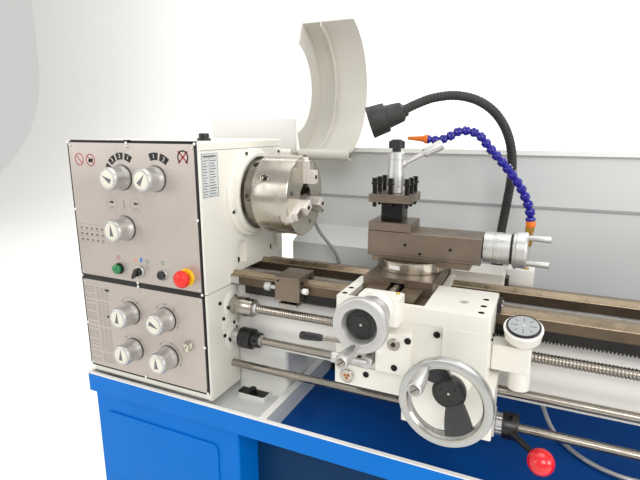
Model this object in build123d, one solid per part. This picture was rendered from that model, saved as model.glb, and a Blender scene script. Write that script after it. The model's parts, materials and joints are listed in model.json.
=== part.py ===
from build123d import *
import math
import os

# Engine lathe, 360 mm swing by 1000 mm between centres, all sizes in millimetres.
# Working frame of the sub-parts: x from the headstock's right face towards the tailstock,
# y from the spindle axis towards the back, z from the spindle axis upwards.
# Every solid is moved by PLACE when it is written, so that the floor is z = 0 and the
# origin is the middle of the machine's footprint.
FACE_X = -527.5
AXIS_Y = 24.0
AXIS_Z = 1150.0
PLACE = Location((FACE_X, AXIS_Y, AXIS_Z))

# Driving dimensions
GAP = 0.3
RUN = 0.05
FLOOR_Z = -AXIS_Z
HEAD_LEFT = -394.0
HEAD_FRONT = -204.0
HEAD_BACK = 165.0
HEAD_TOP = 112.0
HEAD_BOTTOM = -217.0
LID_TOP = 132.0
GEARBOX_BOTTOM = -489.0
BED_END = 1445.0
RAIL_TOP = -193.0
RAIL_BOTTOM = -216.0
RAIL_OUT = 102.0
RAIL_IN = 40.0
WALL_OUT = 70.0
V_HEIGHT = 10.0
FRONT_V_Y = -84.0
REAR_V_Y = 56.0
BED_BOTTOM = -380.0
FLANGE_START = 84.0
SCREW_Y = -100.0
SCREW_Z = -272.0
SCREW_R = 11.0
FEED_Z = -355.0
FEED_R = 9.5
CONTROL_Y = -106.0
CONTROL_Z = -427.0
CONTROL_R = 9.5
ROD_END = 1415.0
SPINDLE_R = 40.0
SPINDLE_BORE = 26.0
BAR_HOLE_R = 31.0
CHUCK_R = 98.0
CHUCK_BACK = 62.0
CHUCK_FACE = 157.5
STOP_LEFT = 138.0
STOP_RIGHT = 202.0
STOP_TOP = -173.0
JAW_ANGLES = (90, 210, 330)
KEY_ANGLES = (30, 150, 270)
GUARD_Y = 156.0
GUARD_Z = 91.0
GUARD_OPEN = 104.0
CARRIAGE_LEFT = 328.0
CARRIAGE_RIGHT = 624.0
CARRIAGE_FRONT = -210.0
WING_TOP = -166.0
SLIDE_X = 426.0
SLIDE_HALF = 74.5
SLIDE_TOP = -146.0
SLIDE_BOTTOM = -178.0
DOVETAIL_TOP = -162.0
SLIDE_FRONT = -114.0
REST_X = 426.0
REST_Y = -4.0
RING_R = 74.5
RING_TOP = -122.5
REST_BASE_BOTTOM = -132.0
REST_BASE_TOP = -118.0
REST_DOVETAIL_TOP = -106.0
TOP_SLIDE_TOP = -61.0
TOP_SLIDE_LEFT = 337.0
TOP_SLIDE_RIGHT = 581.0
REST_SCREW_Z = -85.0
REST_SCREW_R = 8.0
DRUM_ROOM_R = 36.0
POST_X = 384.0
POST_SEAT = -42.0
POST_PLATE_BOTTOM = 2.0
POST_PLATE_TOP = 20.0
POST_HALF = 46.5
STUD_R = 10.0
STUD_TOP = 100.0
CROSS_WHEEL_Y = -330.0
CROSS_WHEEL_R = 49.0
CROSS_Z = -165.0
CROSS_R = 8.0
APRON_WHEEL = (567.0, -290.0, -296.0)
LEVER_SHAFTS = ((403.0, -250.0), (403.0, -284.0))
DIAL_START = (676.0, -138.0, -228.0)
DIAL_TILT = (0, -0.34, 0.94)
TAIL_X = 1185.0
TRAY_LEFT = -404.0
TRAY_RIGHT = 1482.0
TRAY_FRONT = -222.0
TRAY_BACK = 268.0
TRAY_TOP = -487.0
TRAY_BOTTOM = -540.0
SHELF_TOP = -520.0
SHELF_END = 158.0
SHELF_BACK = 251.5
CABINET_FRONT = -205.0
CABINET_BACK = 240.0
PANEL_Y = HEAD_FRONT - 5
GEAR_MODULE = 2.5
ESTOP_PLACE = (-45.0, -176.0)
ESTOP_STROKE = 6.0
BUTTON_PLACE = (-118.0, -180.0)
BUTTON_STROKE = 3.0
MOTOR_Y = 250.0
MOTOR_Z = -320.0
INPUT_Y = 118.0
INPUT_Z = -20.0
MOTOR_PULLEY_R = 44.0
INPUT_PULLEY_R = 64.0
BELT_DEPTH = 7.0
BELT_HALF = 2.6
KNOB_PLACES = {
    "knob_range": (-221, 47), "knob_speed": (-119, 48), "knob_reverse": (-223, -75),
    "knob_feed_a": (-232, -294), "knob_feed_b": (-118, -292),
    "knob_feed_c": (-231, -392), "knob_feed_d": (-118, -391),
}
SWITCH_CABLE = [
    (20, 142, 30), (50, 142, 30), (84, 137, -8), (108, 132, -62), (130, 131, -112), (154, 133, -140),
    (176, 138, -166), (189, 144, -198), (194, 150, -250), (192, 151, -320), (186, 150, -392),
    (178, 154, -452), (172, 160, -500),
]
FEED_CONDUIT = [
    (690, 238, -404), (692, 214, -407), (702, 176, -424), (716, 142, -458), (734, 112, -496),
    (752, 84, -523), (776, 46, -530), (806, 8, -530), (846, -20, -530), (892, -33, -530), (940, -28, -530),
    (984, -4, -530), (1018, 34, -530), (1044, 80, -530), (1052, 128, -530), (1056, 172, -530),
]
NOZZLE_TIP = (375, 120, 137)
LAMP_ARM_R = 11.0
LAMP_ROUTE = [
    (597, 188, -170), (600, 188, -89), (607, 186, -20), (613, 180, 60), (604, 166, 130), (578, 146, 184),
    (538, 130, 218), (490, 112, 232), (440, 96, 228), (398, 80, 212), (372, 62, 196),
]
SHADE_HEADING = (-90, -25, -32)
HOSE_ROUTE = [
    (665, 124, -44), (661, 123, -20), (641, 122, 25), (608, 121, 70), (566, 120, 116),
    (538, 120, 147), (502, 120, 155), (480, 120, 144), (453, 120, 133), (424, 120, 135),
]


def block(x0, x1, y0, y1, z0, z1, ease=0.0):
    """Box between two corners, with every edge rounded by ease."""
    body = Pos((x0 + x1) / 2, (y0 + y1) / 2, (z0 + z1) / 2) * Box(x1 - x0, y1 - y0, z1 - z0)
    if ease:
        body = fillet(body.edges(), ease)
    return body


def upright_block(x0, x1, y0, y1, z0, z1, corner, direction=Axis.Z):
    """Box whose edges along one axis are rounded."""
    body = block(x0, x1, y0, y1, z0, z1)
    return fillet(body.edges().filter_by(direction), corner)


def rod_x(x0, x1, y, z, radius, ease=0.0):
    body = Cylinder(radius, x1 - x0)
    if ease:
        body = chamfer(body.edges(), ease)
    return Pos((x0 + x1) / 2, y, z) * Rot(0, 90, 0) * body


def rod_y(y0, y1, x, z, radius, ease=0.0):
    body = Cylinder(radius, y1 - y0)
    if ease:
        body = chamfer(body.edges(), ease)
    return Pos(x, (y0 + y1) / 2, z) * Rot(90, 0, 0) * body


def rod_z(z0, z1, x, y, radius, ease=0.0):
    body = Cylinder(radius, z1 - z0)
    if ease:
        body = chamfer(body.edges(), ease)
    return Pos(x, y, (z0 + z1) / 2) * body


def prism_x(points, x0, x1):
    """Profile of (y, z) points run along X."""
    face = make_face(Polyline(*[(x0, y, z) for y, z in points], close=True))
    return extrude(face, amount=x1 - x0, dir=(1, 0, 0))


def prism_y(points, y0, y1):
    """Profile of (x, z) points run along Y."""
    face = make_face(Polyline(*[(x, y0, z) for x, z in points], close=True))
    return extrude(face, amount=y1 - y0, dir=(0, 1, 0))


def turned(profile, origin, direction):
    """Solid of revolution from (distance along the axis, radius) points."""
    points = [(profile[0][0], 0)] + list(profile) + [(profile[-1][0], 0)]
    face = make_face(Polyline(*[(r, 0, a) for a, r in points], close=True))
    body = revolve(face, Axis.Z)
    return Plane(origin=origin, z_dir=direction).location * body


def bar(start, end, r0, r1):
    """Round bar that tapers from r0 to r1 between two points."""
    a, b = Vector(*start), Vector(*end)
    length = (b - a).length
    return turned([(0, r0), (length, r1)], start, (b - a).normalized())


def group(*parts):
    """Separate solids in one node."""
    solids = []
    for part in parts:
        solids.extend(part.solids())
    return Compound(children=solids)


# Bed, feet and stand -------------------------------------------------------------------

def v_ridge(centre, x0, x1, clearance=0.0):
    half = V_HEIGHT + clearance
    points = [
        (centre - half, RAIL_TOP - 0.01),
        (centre - 1.5, RAIL_TOP + half - 1.5),
        (centre + 1.5, RAIL_TOP + half - 1.5),
        (centre + half, RAIL_TOP - 0.01),
    ]
    return prism_x(points, x0, x1)


def rail(side, x0, x1):
    """One rail of the bed with its wall and lower flange; side is -1 in front, 1 behind."""
    head = upright_block(x0, x1, *sorted((side * RAIL_IN, side * RAIL_OUT)), RAIL_BOTTOM, RAIL_TOP,
                         2, Axis.X)
    wall = block(x0, x1, *sorted((side * (WALL_OUT - 18), side * WALL_OUT)), BED_BOTTOM, RAIL_BOTTOM)
    flange_out = WALL_OUT + 15
    flange_left = FLANGE_START if side < 0 else x0
    flange_y = sorted((side * (WALL_OUT - 18), side * flange_out))
    flange = upright_block(flange_left, x1, *flange_y, BED_BOTTOM, BED_BOTTOM + 14, 3, Axis.X)
    return head + wall + flange


def bed():
    left, right = HEAD_LEFT + 14, BED_END
    body = rail(-1, left, right) + rail(1, left, right)
    body += v_ridge(FRONT_V_Y, left, right) + v_ridge(REAR_V_Y, left, right)
    inner = WALL_OUT - 18
    for x in (-380, 0, 200, 400, 600, 800, 1000, 1200, 1427):
        body += block(x, x + 18, -inner, inner, BED_BOTTOM, RAIL_BOTTOM - 26)
    rack = block(40, BED_END - 60, -RAIL_OUT + 2, -WALL_OUT, -236, RAIL_BOTTOM)
    feet = []
    for x, bottom in ((-360, SHELF_TOP), (-15, SHELF_TOP), (1250, TRAY_BOTTOM + 4)):
        foot = upright_block(x, x + 150, -66, 66, bottom, BED_BOTTOM, 12)
        foot += upright_block(x + 25, x + 105, -110, 110, bottom, -506, 8)
        feet.append(foot)
        for y in (-96, 96):
            feet.append(turned([(0, 14), (3, 14), (3, 9), (12, 9)], (x + 65, y, -506), (0, 0, 1)))
    return group(body, rack, end_bracket(), *feet)


def chip_tray():
    outer = upright_block(TRAY_LEFT, TRAY_RIGHT, TRAY_FRONT, TRAY_BACK, TRAY_BOTTOM, TRAY_TOP, 12)
    inner = upright_block(TRAY_LEFT + 10, TRAY_RIGHT - 10, TRAY_FRONT + 10, TRAY_BACK - 10,
                          TRAY_BOTTOM + 4, TRAY_TOP + 1, 6)
    shelf = block(TRAY_LEFT + 9, SHELF_END, TRAY_FRONT + 9, SHELF_BACK, TRAY_BOTTOM + 3, SHELF_TOP)
    step = block(SHELF_END - 18, SHELF_END, TRAY_FRONT + 9, SHELF_BACK, SHELF_TOP - 1, TRAY_TOP)
    return outer - inner + shelf + step


def cabinet(x0, x1):
    """Sheet-metal pedestal, open at the back, with an embossed door."""
    outer = upright_block(x0, x1, CABINET_FRONT, CABINET_BACK, FLOOR_Z + 30, TRAY_BOTTOM, 6)
    inner = block(x0 + 4, x1 - 4, CABINET_FRONT + 4, CABINET_BACK + 1, FLOOR_Z + 60, TRAY_BOTTOM - 4)
    door = upright_block(x0 + 40, x1 - 60, CABINET_FRONT - 4, CABINET_FRONT + 2, FLOOR_Z + 90,
                         TRAY_BOTTOM - 60, 14, Axis.Y)
    return outer - inner + door


def stand():
    left = cabinet(TRAY_LEFT + 8, 75)
    right = cabinet(1030, TRAY_RIGHT - 8)
    panel = block(75, 1030, -120, -116, FLOOR_Z + 150, TRAY_BOTTOM)
    back = block(75, 1030, CABINET_BACK - 4, CABINET_BACK, FLOOR_Z + 150, TRAY_BOTTOM)
    feet = []
    for x in (-360, 40, 1065, 1440):
        for y in (-170, 205):
            feet.append(rod_z(FLOOR_Z, FLOOR_Z + 18, x, y, 28, 3) + rod_z(FLOOR_Z, FLOOR_Z + 30, x, y, 8))
    return group(left, right, panel, back, *feet)


# Headstock ------------------------------------------------------------------------------

def headstock_casting():
    """Gear housing, white cover ring round the nose and the bracket that carries the guard."""
    outer = block(HEAD_LEFT, 0, HEAD_FRONT, HEAD_BACK, HEAD_BOTTOM, HEAD_TOP)
    outer = fillet(outer.edges().filter_by(Axis.Z) + outer.edges().filter_by(Axis.X).sort_by(Axis.Y)[:2], 6)
    inner = block(HEAD_LEFT + 14, -14, HEAD_FRONT + 14, HEAD_BACK - 14, HEAD_BOTTOM + 34, HEAD_TOP + 1)
    body = outer - inner
    body -= rod_x(HEAD_LEFT - 1, 1, 0, 0, 60)
    bed_slot = block(HEAD_LEFT - 1, 1, -RAIL_OUT - GAP, RAIL_OUT + GAP, HEAD_BOTTOM - 1, RAIL_TOP)
    body -= bed_slot
    body -= v_ridge(FRONT_V_Y, HEAD_LEFT - 1, 1, GAP) + v_ridge(REAR_V_Y, HEAD_LEFT - 1, 1, GAP)
    for y in (-48, 111):
        pocket = upright_block(-12, 1, y - 21, y + 21, -177, -119, 9, Axis.X)
        body -= pocket
        body += rod_x(-12, -4, y - 12, -166, 7)
    ring = turned([(0, 112), (10, 112), (14, 108), (14, 101), (29, 101), (30, 100)], (0, 0, 0), (1, 0, 0))
    ring -= rod_x(-1, 31, 0, 0, 92)
    for angle in (20, 110, 200, 290):
        y, z = 106.5 * math.cos(math.radians(angle)), 106.5 * math.sin(math.radians(angle))
        ring += rod_x(14, 17, y, z, 4)
    bracket = upright_block(0, 8, 128, 164, 66, 106, 5, Axis.X)
    bracket += rod_x(0, 40, GUARD_Y, GUARD_Z, 13) + rod_x(40, 215, GUARD_Y, GUARD_Z, 8)
    gland = rod_x(0, 20, 142, 30, 10, 2)
    body -= rod_x(HEAD_LEFT - 1, HEAD_LEFT + 15, INPUT_Y, INPUT_Z, 16 + RUN)
    bearings = []
    for x in (HEAD_LEFT, -22):
        bearings.append(rod_x(x, x + 22, 0, 0, 60) - rod_x(x - 1, x + 23, 0, 0, SPINDLE_R + RUN))
    return group(body, ring, bracket, gland, *bearings)


def headstock_lid():
    lid = block(HEAD_LEFT, 0, HEAD_FRONT, HEAD_BACK, HEAD_TOP, LID_TOP)
    lid = fillet(lid.edges().filter_by(Axis.Z) + lid.edges().sort_by(Axis.Z)[-4:], 5)
    plug = turned([(0, 16), (6, 16), (8, 12), (16, 12), (18, 10)], (-40, -128, LID_TOP - 1), (0, 0, 1))
    return lid + plug


def screw_head(x, z, y, radius=4.0):
    return turned([(0, radius), (1.5, radius), (3, radius * 0.6)], (x, y, z), (0, -1, 0))


def front_panels():
    """Two brushed plates on a black gasket, their screws, oil sight and signal lamp."""
    plates = []
    for z0, z1 in ((-211, 128.5), (-467, -221)):
        gasket = upright_block(-394, -2, HEAD_FRONT - 2.5, HEAD_FRONT, z0, z1, 5, Axis.Y)
        plate = upright_block(-392, -4, PANEL_Y, HEAD_FRONT - 2.5, z0 + 2, z1 - 2, 5, Axis.Y)
        plates += [gasket, plate]
        for x in (-385, -198, -11):
            for z in (z0 + 9, z1 - 9):
                plates.append(screw_head(x, z, PANEL_Y))
    plates.append(turned([(0, 13), (3, 13), (6, 11), (9, 9)], (-54, PANEL_Y, -349), (0, -1, 0)))
    plates.append(turned([(0, 14), (4, 14), (4, 10), (9, 10), (12, 6)], (-256, PANEL_Y, -180), (0, -1, 0)))
    for (x, z), inner, outer, depth in ((ESTOP_PLACE, 12, 21, 6), (BUTTON_PLACE, 10.3, 14, 5)):
        bezel = rod_y(PANEL_Y - depth, PANEL_Y, x, z, outer, 1)
        plates.append(bezel - rod_y(PANEL_Y - 20, PANEL_Y + 1, x, z, inner))
    return group(*plates)


def knob(x, z):
    """Selector knob: chromed bezel, ribbed barrel and a spindle stub behind the plate."""
    front = PANEL_Y - 0.6
    body = turned([(0, 31), (3, 31), (5, 27), (12, 26), (42, 25), (46, 22)], (x, front, z), (0, -1, 0))
    for step in range(12):
        angle = math.radians(30 * step)
        body -= rod_y(front - 47, front - 14, x + 28 * math.cos(angle), z + 28 * math.sin(angle), 4)
    return body


def estop_button():
    """Mushroom head and stem of the emergency stop, with room for its stroke behind it."""
    front = PANEL_Y - ESTOP_STROKE - 1
    x, z = ESTOP_PLACE
    return turned([(0, 11), (8, 11), (8, 20), (17, 20), (23, 16), (27, 8)], (x, front, z), (0, -1, 0))


def selector_switch():
    front = PANEL_Y - 0.6
    body = turned([(0, 14), (5, 14), (5, 10), (10, 10)], (-189, front, -180), (0, -1, 0))
    return body + block(-193, -185, front - 22, front - 8, -192, -168, 2)


def push_button():
    x, z = BUTTON_PLACE
    return turned([(0, 10), (6, 10), (7, 9)], (x, PANEL_Y - BUTTON_STROKE - 1, z), (0, -1, 0))


def feed_gearbox():
    """Quick-change gearbox with the outlet flanges of its two shafts."""
    body = block(HEAD_LEFT, 0, HEAD_FRONT, -WALL_OUT - 3, GEARBOX_BOTTOM, HEAD_BOTTOM - 2)
    body = fillet(body.edges().filter_by(Axis.Z) + body.edges().filter_by(Axis.X).sort_by(Axis.Z)[:2], 8)
    body -= block(HEAD_LEFT + 12, -12, HEAD_FRONT + 12, -WALL_OUT - 15, GEARBOX_BOTTOM + 14, HEAD_BOTTOM - 16)
    body -= rod_x(HEAD_LEFT - 1, 1, SCREW_Y, SCREW_Z, 16)
    body -= rod_x(-13, 1, SCREW_Y, FEED_Z, 16)
    body -= rod_x(-13, 1, CONTROL_Y, CONTROL_Z, CONTROL_R + RUN)
    for z in (SCREW_Z, FEED_Z):
        for angle in (60, 180, 300):
            y = SCREW_Y + 23 * math.cos(math.radians(angle))
            body += rod_x(0, 3, y, z + 23 * math.sin(math.radians(angle)), 4)
    return body


def end_cover():
    """Sheet cover over the belt and the change gears at the left end."""
    outer = upright_block(-470, HEAD_LEFT - 2, -145, 345, -444, 110, 14, Axis.X)
    outer = fillet(outer.edges().sort_by(Axis.X)[:8], 2.5)
    inner = upright_block(-467, HEAD_LEFT, -142, 342, -441, 107, 11, Axis.X)
    return outer - inner - rod_x(-471, -466, 0, 0, BAR_HOLE_R)


def spindle():
    """Hollow spindle with its camlock nose, headstock gear and the change-gear pinion."""
    body = turned([(-448, 30), (HEAD_LEFT - 6, 30), (HEAD_LEFT - 6, SPINDLE_R), (10, SPINDLE_R),
                   (10, 66), (34, 66)], (0, 0, 0), (1, 0, 0))
    body += turned([(-210, 95), (-170, 95)], (0, 0, 0), (1, 0, 0))
    body += gear(GEARS["spindle"])
    return body - rod_x(-460, 40, 0, 0, SPINDLE_BORE)


def chuck_body():
    """Back plate with cam sockets and the chuck body with jaw slots, key sockets and bore."""
    plate = turned([(34, 84), (36, 86), (CHUCK_BACK, 86)], (0, 0, 0), (1, 0, 0))
    body = turned([(CHUCK_BACK, 96), (64, CHUCK_R), (CHUCK_FACE - 2, CHUCK_R), (CHUCK_FACE, 96)],
                  (0, 0, 0), (1, 0, 0))
    body = plate + body
    for angle in (30, 90, 150, 210, 270, 330):
        body -= Rot(angle, 0, 0) * rod_z(78, 100, 48, 0, 9)
    for angle in KEY_ANGLES:
        body -= Rot(angle - 90, 0, 0) * rod_z(84, 100, 92, 0, 12)
        body -= Rot(angle - 90, 0, 0) * block(87, 97, -5, 5, 70, 100)
    for angle in JAW_ANGLES:
        body -= Rot(angle - 90, 0, 0) * block(130, 160, -11.3, 11.3, 12, 100)
        body -= Rot(angle - 90, 0, 0) * block(138, 148, -14.3, 14.3, 12, 100)
    body -= turned([(108, 92), (126, 92)], (0, 0, 0), (1, 0, 0))
    return body - rod_x(30, 160, 0, 0, SPINDLE_BORE + 2)


def chuck_scroll():
    """Scroll plate that drives the three jaws."""
    plate = turned([(108.3, 91), (125.7, 91)], (0, 0, 0), (1, 0, 0))
    return plate - rod_x(100, 130, 0, 0, 34)


def chuck_jaw(angle):
    """Stepped outside jaw; its feet ride in the slot of the body."""
    jaw = block(130.4, 162, -11, 11, 30, 92) + block(138.3, 147.7, -14, 14, 30, 92)
    jaw += block(162, 174, -11, 11, 30, 84)
    jaw += block(174, 186, -11, 11, 30, 62)
    return Rot(angle - 90, 0, 0) * jaw


def chuck_guard():
    """Curved sheet guard, shown swung open, with a rib and two hinge eyes."""
    outer, inner = 178, 175
    sector = [(0, 0)]
    sector += [(260 * math.cos(math.radians(a)), 260 * math.sin(math.radians(a)))
               for a in (30, 66, 102, 138, 173)]
    wedge = prism_x(sector, 20, 230)
    sheet = (rod_x(66, 212, 0, 0, outer) - rod_x(60, 220, 0, 0, inner)) & wedge
    wing = (rod_x(66, 69, 0, 0, inner) - rod_x(60, 72, 0, 0, 120)) & wedge
    rib = (rod_x(120, 124, 0, 0, inner) - rod_x(118, 126, 0, 0, 164)) & wedge
    eye = rod_x(66, 212, GUARD_Y, GUARD_Z, 15)
    bore = rod_x(60, 220, GUARD_Y, GUARD_Z, 8 + GAP)
    body = sheet + wing + rib + eye - bore
    return Pos(0, GUARD_Y, GUARD_Z) * Rot(-GUARD_OPEN, 0, 0) * Pos(0, -GUARD_Y, -GUARD_Z) * body


# Drive ----------------------------------------------------------------------------------

def triangle_point(a, b, from_a, from_b):
    """Point at the given distances from a and b, on the back side of the line."""
    dy, dz = b[0] - a[0], b[1] - a[1]
    span = math.hypot(dy, dz)
    along = (from_a ** 2 + span ** 2 - from_b ** 2) / (2 * span)
    side = math.sqrt(from_a ** 2 - along ** 2)
    uy, uz = dy / span, dz / span
    return a[0] + along * uy - side * uz, a[1] + along * uz + side * uy


def angle_between(a, b):
    return math.degrees(math.atan2(b[1] - a[1], b[0] - a[0]))


def gear_train():
    """Places and tooth phases of the three change gears at the left end."""
    teeth = {"spindle": 32, "idler": 88, "screw": 28}
    radius = {name: GEAR_MODULE * count / 2 for name, count in teeth.items()}
    place = {"spindle": (0.0, 0.0), "screw": (SCREW_Y, SCREW_Z)}
    place["idler"] = triangle_point(place["spindle"], place["screw"], radius["spindle"] + radius["idler"],
                                    radius["idler"] + radius["screw"])
    first = angle_between(place["spindle"], place["idler"])
    second = angle_between(place["idler"], place["screw"])
    pitch = {name: 360 / count for name, count in teeth.items()}
    phase = {"spindle": first}
    phase["idler"] = first + 180 + pitch["idler"] / 2
    offset = (second - phase["idler"]) % pitch["idler"]
    phase["screw"] = second + 180 + offset * radius["idler"] / radius["screw"] + pitch["screw"] / 2
    return {name: (teeth[name], place[name], phase[name]) for name in teeth}


GEARS = gear_train()


def gear(data, x0=-440, x1=-424):
    """Spur gear across the YZ plane with straight-sided teeth and backlash."""
    count, (cy, cz), phase = data
    pitch_r = GEAR_MODULE * count / 2
    root, tip = pitch_r - 1.2 * GEAR_MODULE, pitch_r + 0.85 * GEAR_MODULE
    step = 360 / count
    points = []
    for tooth in range(count):
        middle = phase + tooth * step
        for share, radius in ((-0.27, root), (-0.13, tip), (0.13, tip), (0.27, root)):
            angle = math.radians(middle + share * step)
            points.append((cy + radius * math.cos(angle), cz + radius * math.sin(angle)))
    return prism_x(points, x0, x1)


def motor():
    body = rod_x(-378, -150, MOTOR_Y, MOTOR_Z, 82, 6)
    fins = []
    for step in range(20):
        fins.append(Pos(0, MOTOR_Y, MOTOR_Z) * Rot(step * 18, 0, 0) * block(-350, -190, -2, 2, 80, 90))
    for fin in fins:
        body += fin
    body += block(-330, -200, HEAD_BACK, MOTOR_Y, MOTOR_Z - 80, MOTOR_Z - 66)
    body += block(-330, -200, HEAD_BACK, HEAD_BACK + 12, MOTOR_Z - 80, -190)
    body += block(-290, -220, MOTOR_Y + 60, MOTOR_Y + 108, MOTOR_Z - 30, MOTOR_Z + 30, 5)
    return body - rod_x(-380, -340, MOTOR_Y, MOTOR_Z, 14 + RUN)


def grooved_pulley(y, z, radius):
    body = turned([(-436, radius), (-400, radius)], (0, y, z), (1, 0, 0))
    for x in (-427, -409):
        band = turned([(x - 5, radius + 1), (x + 5, radius + 1)], (0, y, z), (1, 0, 0))
        waist = turned([(x - 5, radius + 1), (x - 3, radius - 8), (x + 3, radius - 8), (x + 5, radius + 1)],
                       (0, y, z), (1, 0, 0))
        body -= band - waist
    return body


def motor_pulley():
    shaft = rod_x(-440, -342, MOTOR_Y, MOTOR_Z, 14)
    return shaft + grooved_pulley(MOTOR_Y, MOTOR_Z, MOTOR_PULLEY_R)


def input_pulley():
    shaft = rod_x(-440, HEAD_LEFT + 60, INPUT_Y, INPUT_Z, 16)
    drum = turned([(HEAD_LEFT + 20, 22), (HEAD_LEFT + 44, 22)], (0, INPUT_Y, INPUT_Z), (1, 0, 0))
    return shaft + drum + grooved_pulley(INPUT_Y, INPUT_Z, INPUT_PULLEY_R)


def drive_belt():
    """Two V-belts round both pulleys."""
    belts = []
    a, b = (MOTOR_Y, MOTOR_Z), (INPUT_Y, INPUT_Z)
    ra, rb = MOTOR_PULLEY_R - BELT_DEPTH, INPUT_PULLEY_R - BELT_DEPTH
    heading = angle_between(a, b)
    span = math.hypot(b[0] - a[0], b[1] - a[1])
    lean = math.degrees(math.acos((ra - rb) / span))
    for x in (-427, -409):
        sides = []
        for grow in (BELT_DEPTH - 1, 0):
            points = []
            for centre, radius, start, end in ((a, ra, heading + lean, heading + 360 - lean),
                                               (b, rb, heading - lean, heading + lean)):
                for step in range(13):
                    angle = math.radians(start + (end - start) * step / 12)
                    points.append((centre[0] + (radius + grow) * math.cos(angle),
                                   centre[1] + (radius + grow) * math.sin(angle)))
            sides.append(prism_x(points, x - BELT_HALF, x + BELT_HALF))
        belts.append(sides[0] - sides[1])
    return group(*belts)


def electrical_box():
    outer = block(-290, 10, 236, 345, -150, 189)
    outer = fillet(outer.edges().filter_by(Axis.Z), 4)
    inner = block(-286, 6, 240, 346, -146, 185)
    back = block(-288, 8, 345, 348, -148, 187)
    panel = block(-285, 5, 241, 341, -100, -97)
    return group(outer - inner, back, panel)


def splash_guard():
    """Bent sheet behind the bed with a rolled top lip, a seam and a left return."""
    sheet = block(24, TRAY_RIGHT - 14, 252, 255, TRAY_BOTTOM + 4, 104)
    sheet += block(24, TRAY_RIGHT - 14, 240, 255, 96, 108)
    sheet += block(24, TRAY_RIGHT - 14, 248, 252, -34, -28)
    chute = prism_x([(253, -120), (253, -123), (174, -165), (172, -162)], 30, 330)
    lip = prism_x([(172, -162), (175, -165), (175, -300), (172, -300)], 30, 330)
    return group(sheet + chute + lip, cord_glands())


def cord_tube(route, radius):
    """Round tube along straight runs joined by arcs as large as the runs allow."""
    points = [Vector(*spot) for spot in route]
    radii = []
    for before, corner, after in zip(points, points[1:], points[2:]):
        turn = math.radians((corner - before).get_angle(after - corner))
        shorter = min((corner - before).length, (after - corner).length)
        radii.append(0.45 * shorter / math.tan(turn / 2))
    path = FilletPolyline(*points, radius=radii)
    section = Plane(origin=points[0], z_dir=points[1] - points[0]) * Circle(radius)
    tube = sweep(section, path=path)
    print("cord radii", [round(value, 1) for value in radii])
    print("cord length", round(path.length, 1),
          "volume ratio", round(tube.volume / (math.pi * radius ** 2 * path.length), 4))
    return tube


def switch_cable():
    """Grey cable from the guard's switch down behind the bed into the tray."""
    return cord_tube(SWITCH_CABLE, 4.5)


def feed_conduit():
    """Metal conduit from the splash guard over the tray floor."""
    return cord_tube(FEED_CONDUIT, 5.5)


def gland(end, neighbour, near_r, far_r, length):
    """Round fitting that carries on a cord's last run past its end."""
    tip, inside = Vector(*end), Vector(*neighbour)
    heading = (tip - inside).normalized()
    return bar(end, tuple(tip + heading * length), near_r, far_r)


def cord_glands():
    """Glands where the cable and the conduit enter and leave the machine."""
    above_tray = block(100, 1200, 100, 300, TRAY_BOTTOM + 4.1, -380)
    cable_end = gland(SWITCH_CABLE[-1], SWITCH_CABLE[-2], 8, 9, 40)
    conduit_start = gland(FEED_CONDUIT[0], FEED_CONDUIT[1], 11, 11, 14.5)
    conduit_end = gland(FEED_CONDUIT[-1], FEED_CONDUIT[-2], 9, 9, 20)
    return group(cable_end & above_tray, conduit_start, conduit_end & above_tray)


def end_bracket():
    """Bearing bracket that carries the right-hand ends of the three rods."""
    body = block(1372, 1402, -128, -WALL_OUT, -452, -244, 4)
    shafts = ((SCREW_Y, SCREW_Z, SCREW_R), (SCREW_Y, FEED_Z, FEED_R), (CONTROL_Y, CONTROL_Z, CONTROL_R))
    for y, z, r in shafts:
        body += rod_x(1362, 1402, y, z, r + 11)
        body -= rod_x(1350, 1410, y, z, r + RUN)
    return body


def bed_stop():
    """Stop block clamped on the front rail, with its setting screw."""
    left, right = STOP_LEFT, STOP_RIGHT
    body = upright_block(left, right, -124, -46, -231, STOP_TOP, 2, Axis.X)
    body -= block(left - 1, right + 1, -RAIL_OUT - 0.5, -45, -232, RAIL_TOP + 0.5)
    body -= v_ridge(FRONT_V_Y, left - 1, right + 1, 0.6)
    keeper = block(left + 8, right - 8, -123, -WALL_OUT - 8, -244, -238) + rod_z(-240, -226, 170, -113, 4)
    screw = rod_x(110, 216, -113, -205, 5) + rod_x(110, 122, -113, -205, 10)
    return group(body + keeper + screw)


# Rods -----------------------------------------------------------------------------------

def leadscrew():
    body = rod_x(-445, ROD_END, SCREW_Y, SCREW_Z, SCREW_R)
    body += rod_x(6, 66, SCREW_Y, SCREW_Z, 22, 2)
    return body + gear(GEARS["screw"])


def feed_rod():
    body = rod_x(-10, ROD_END, SCREW_Y, FEED_Z, FEED_R)
    coupling = [(6, 20), (30, 20), (30, 26), (60, 26), (66, 20), (80, 20)]
    body += turned(coupling, (0, SCREW_Y, FEED_Z), (1, 0, 0))
    return body


def control_rod():
    return rod_x(-11, ROD_END, CONTROL_Y, CONTROL_Z, CONTROL_R)


def idler_gear():
    """Intermediate change gear on its stud."""
    cy, cz = GEARS["idler"][1]
    return gear(GEARS["idler"]) + rod_x(-450, -424, cy, cz, 24)


# Carriage -------------------------------------------------------------------------------

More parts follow.
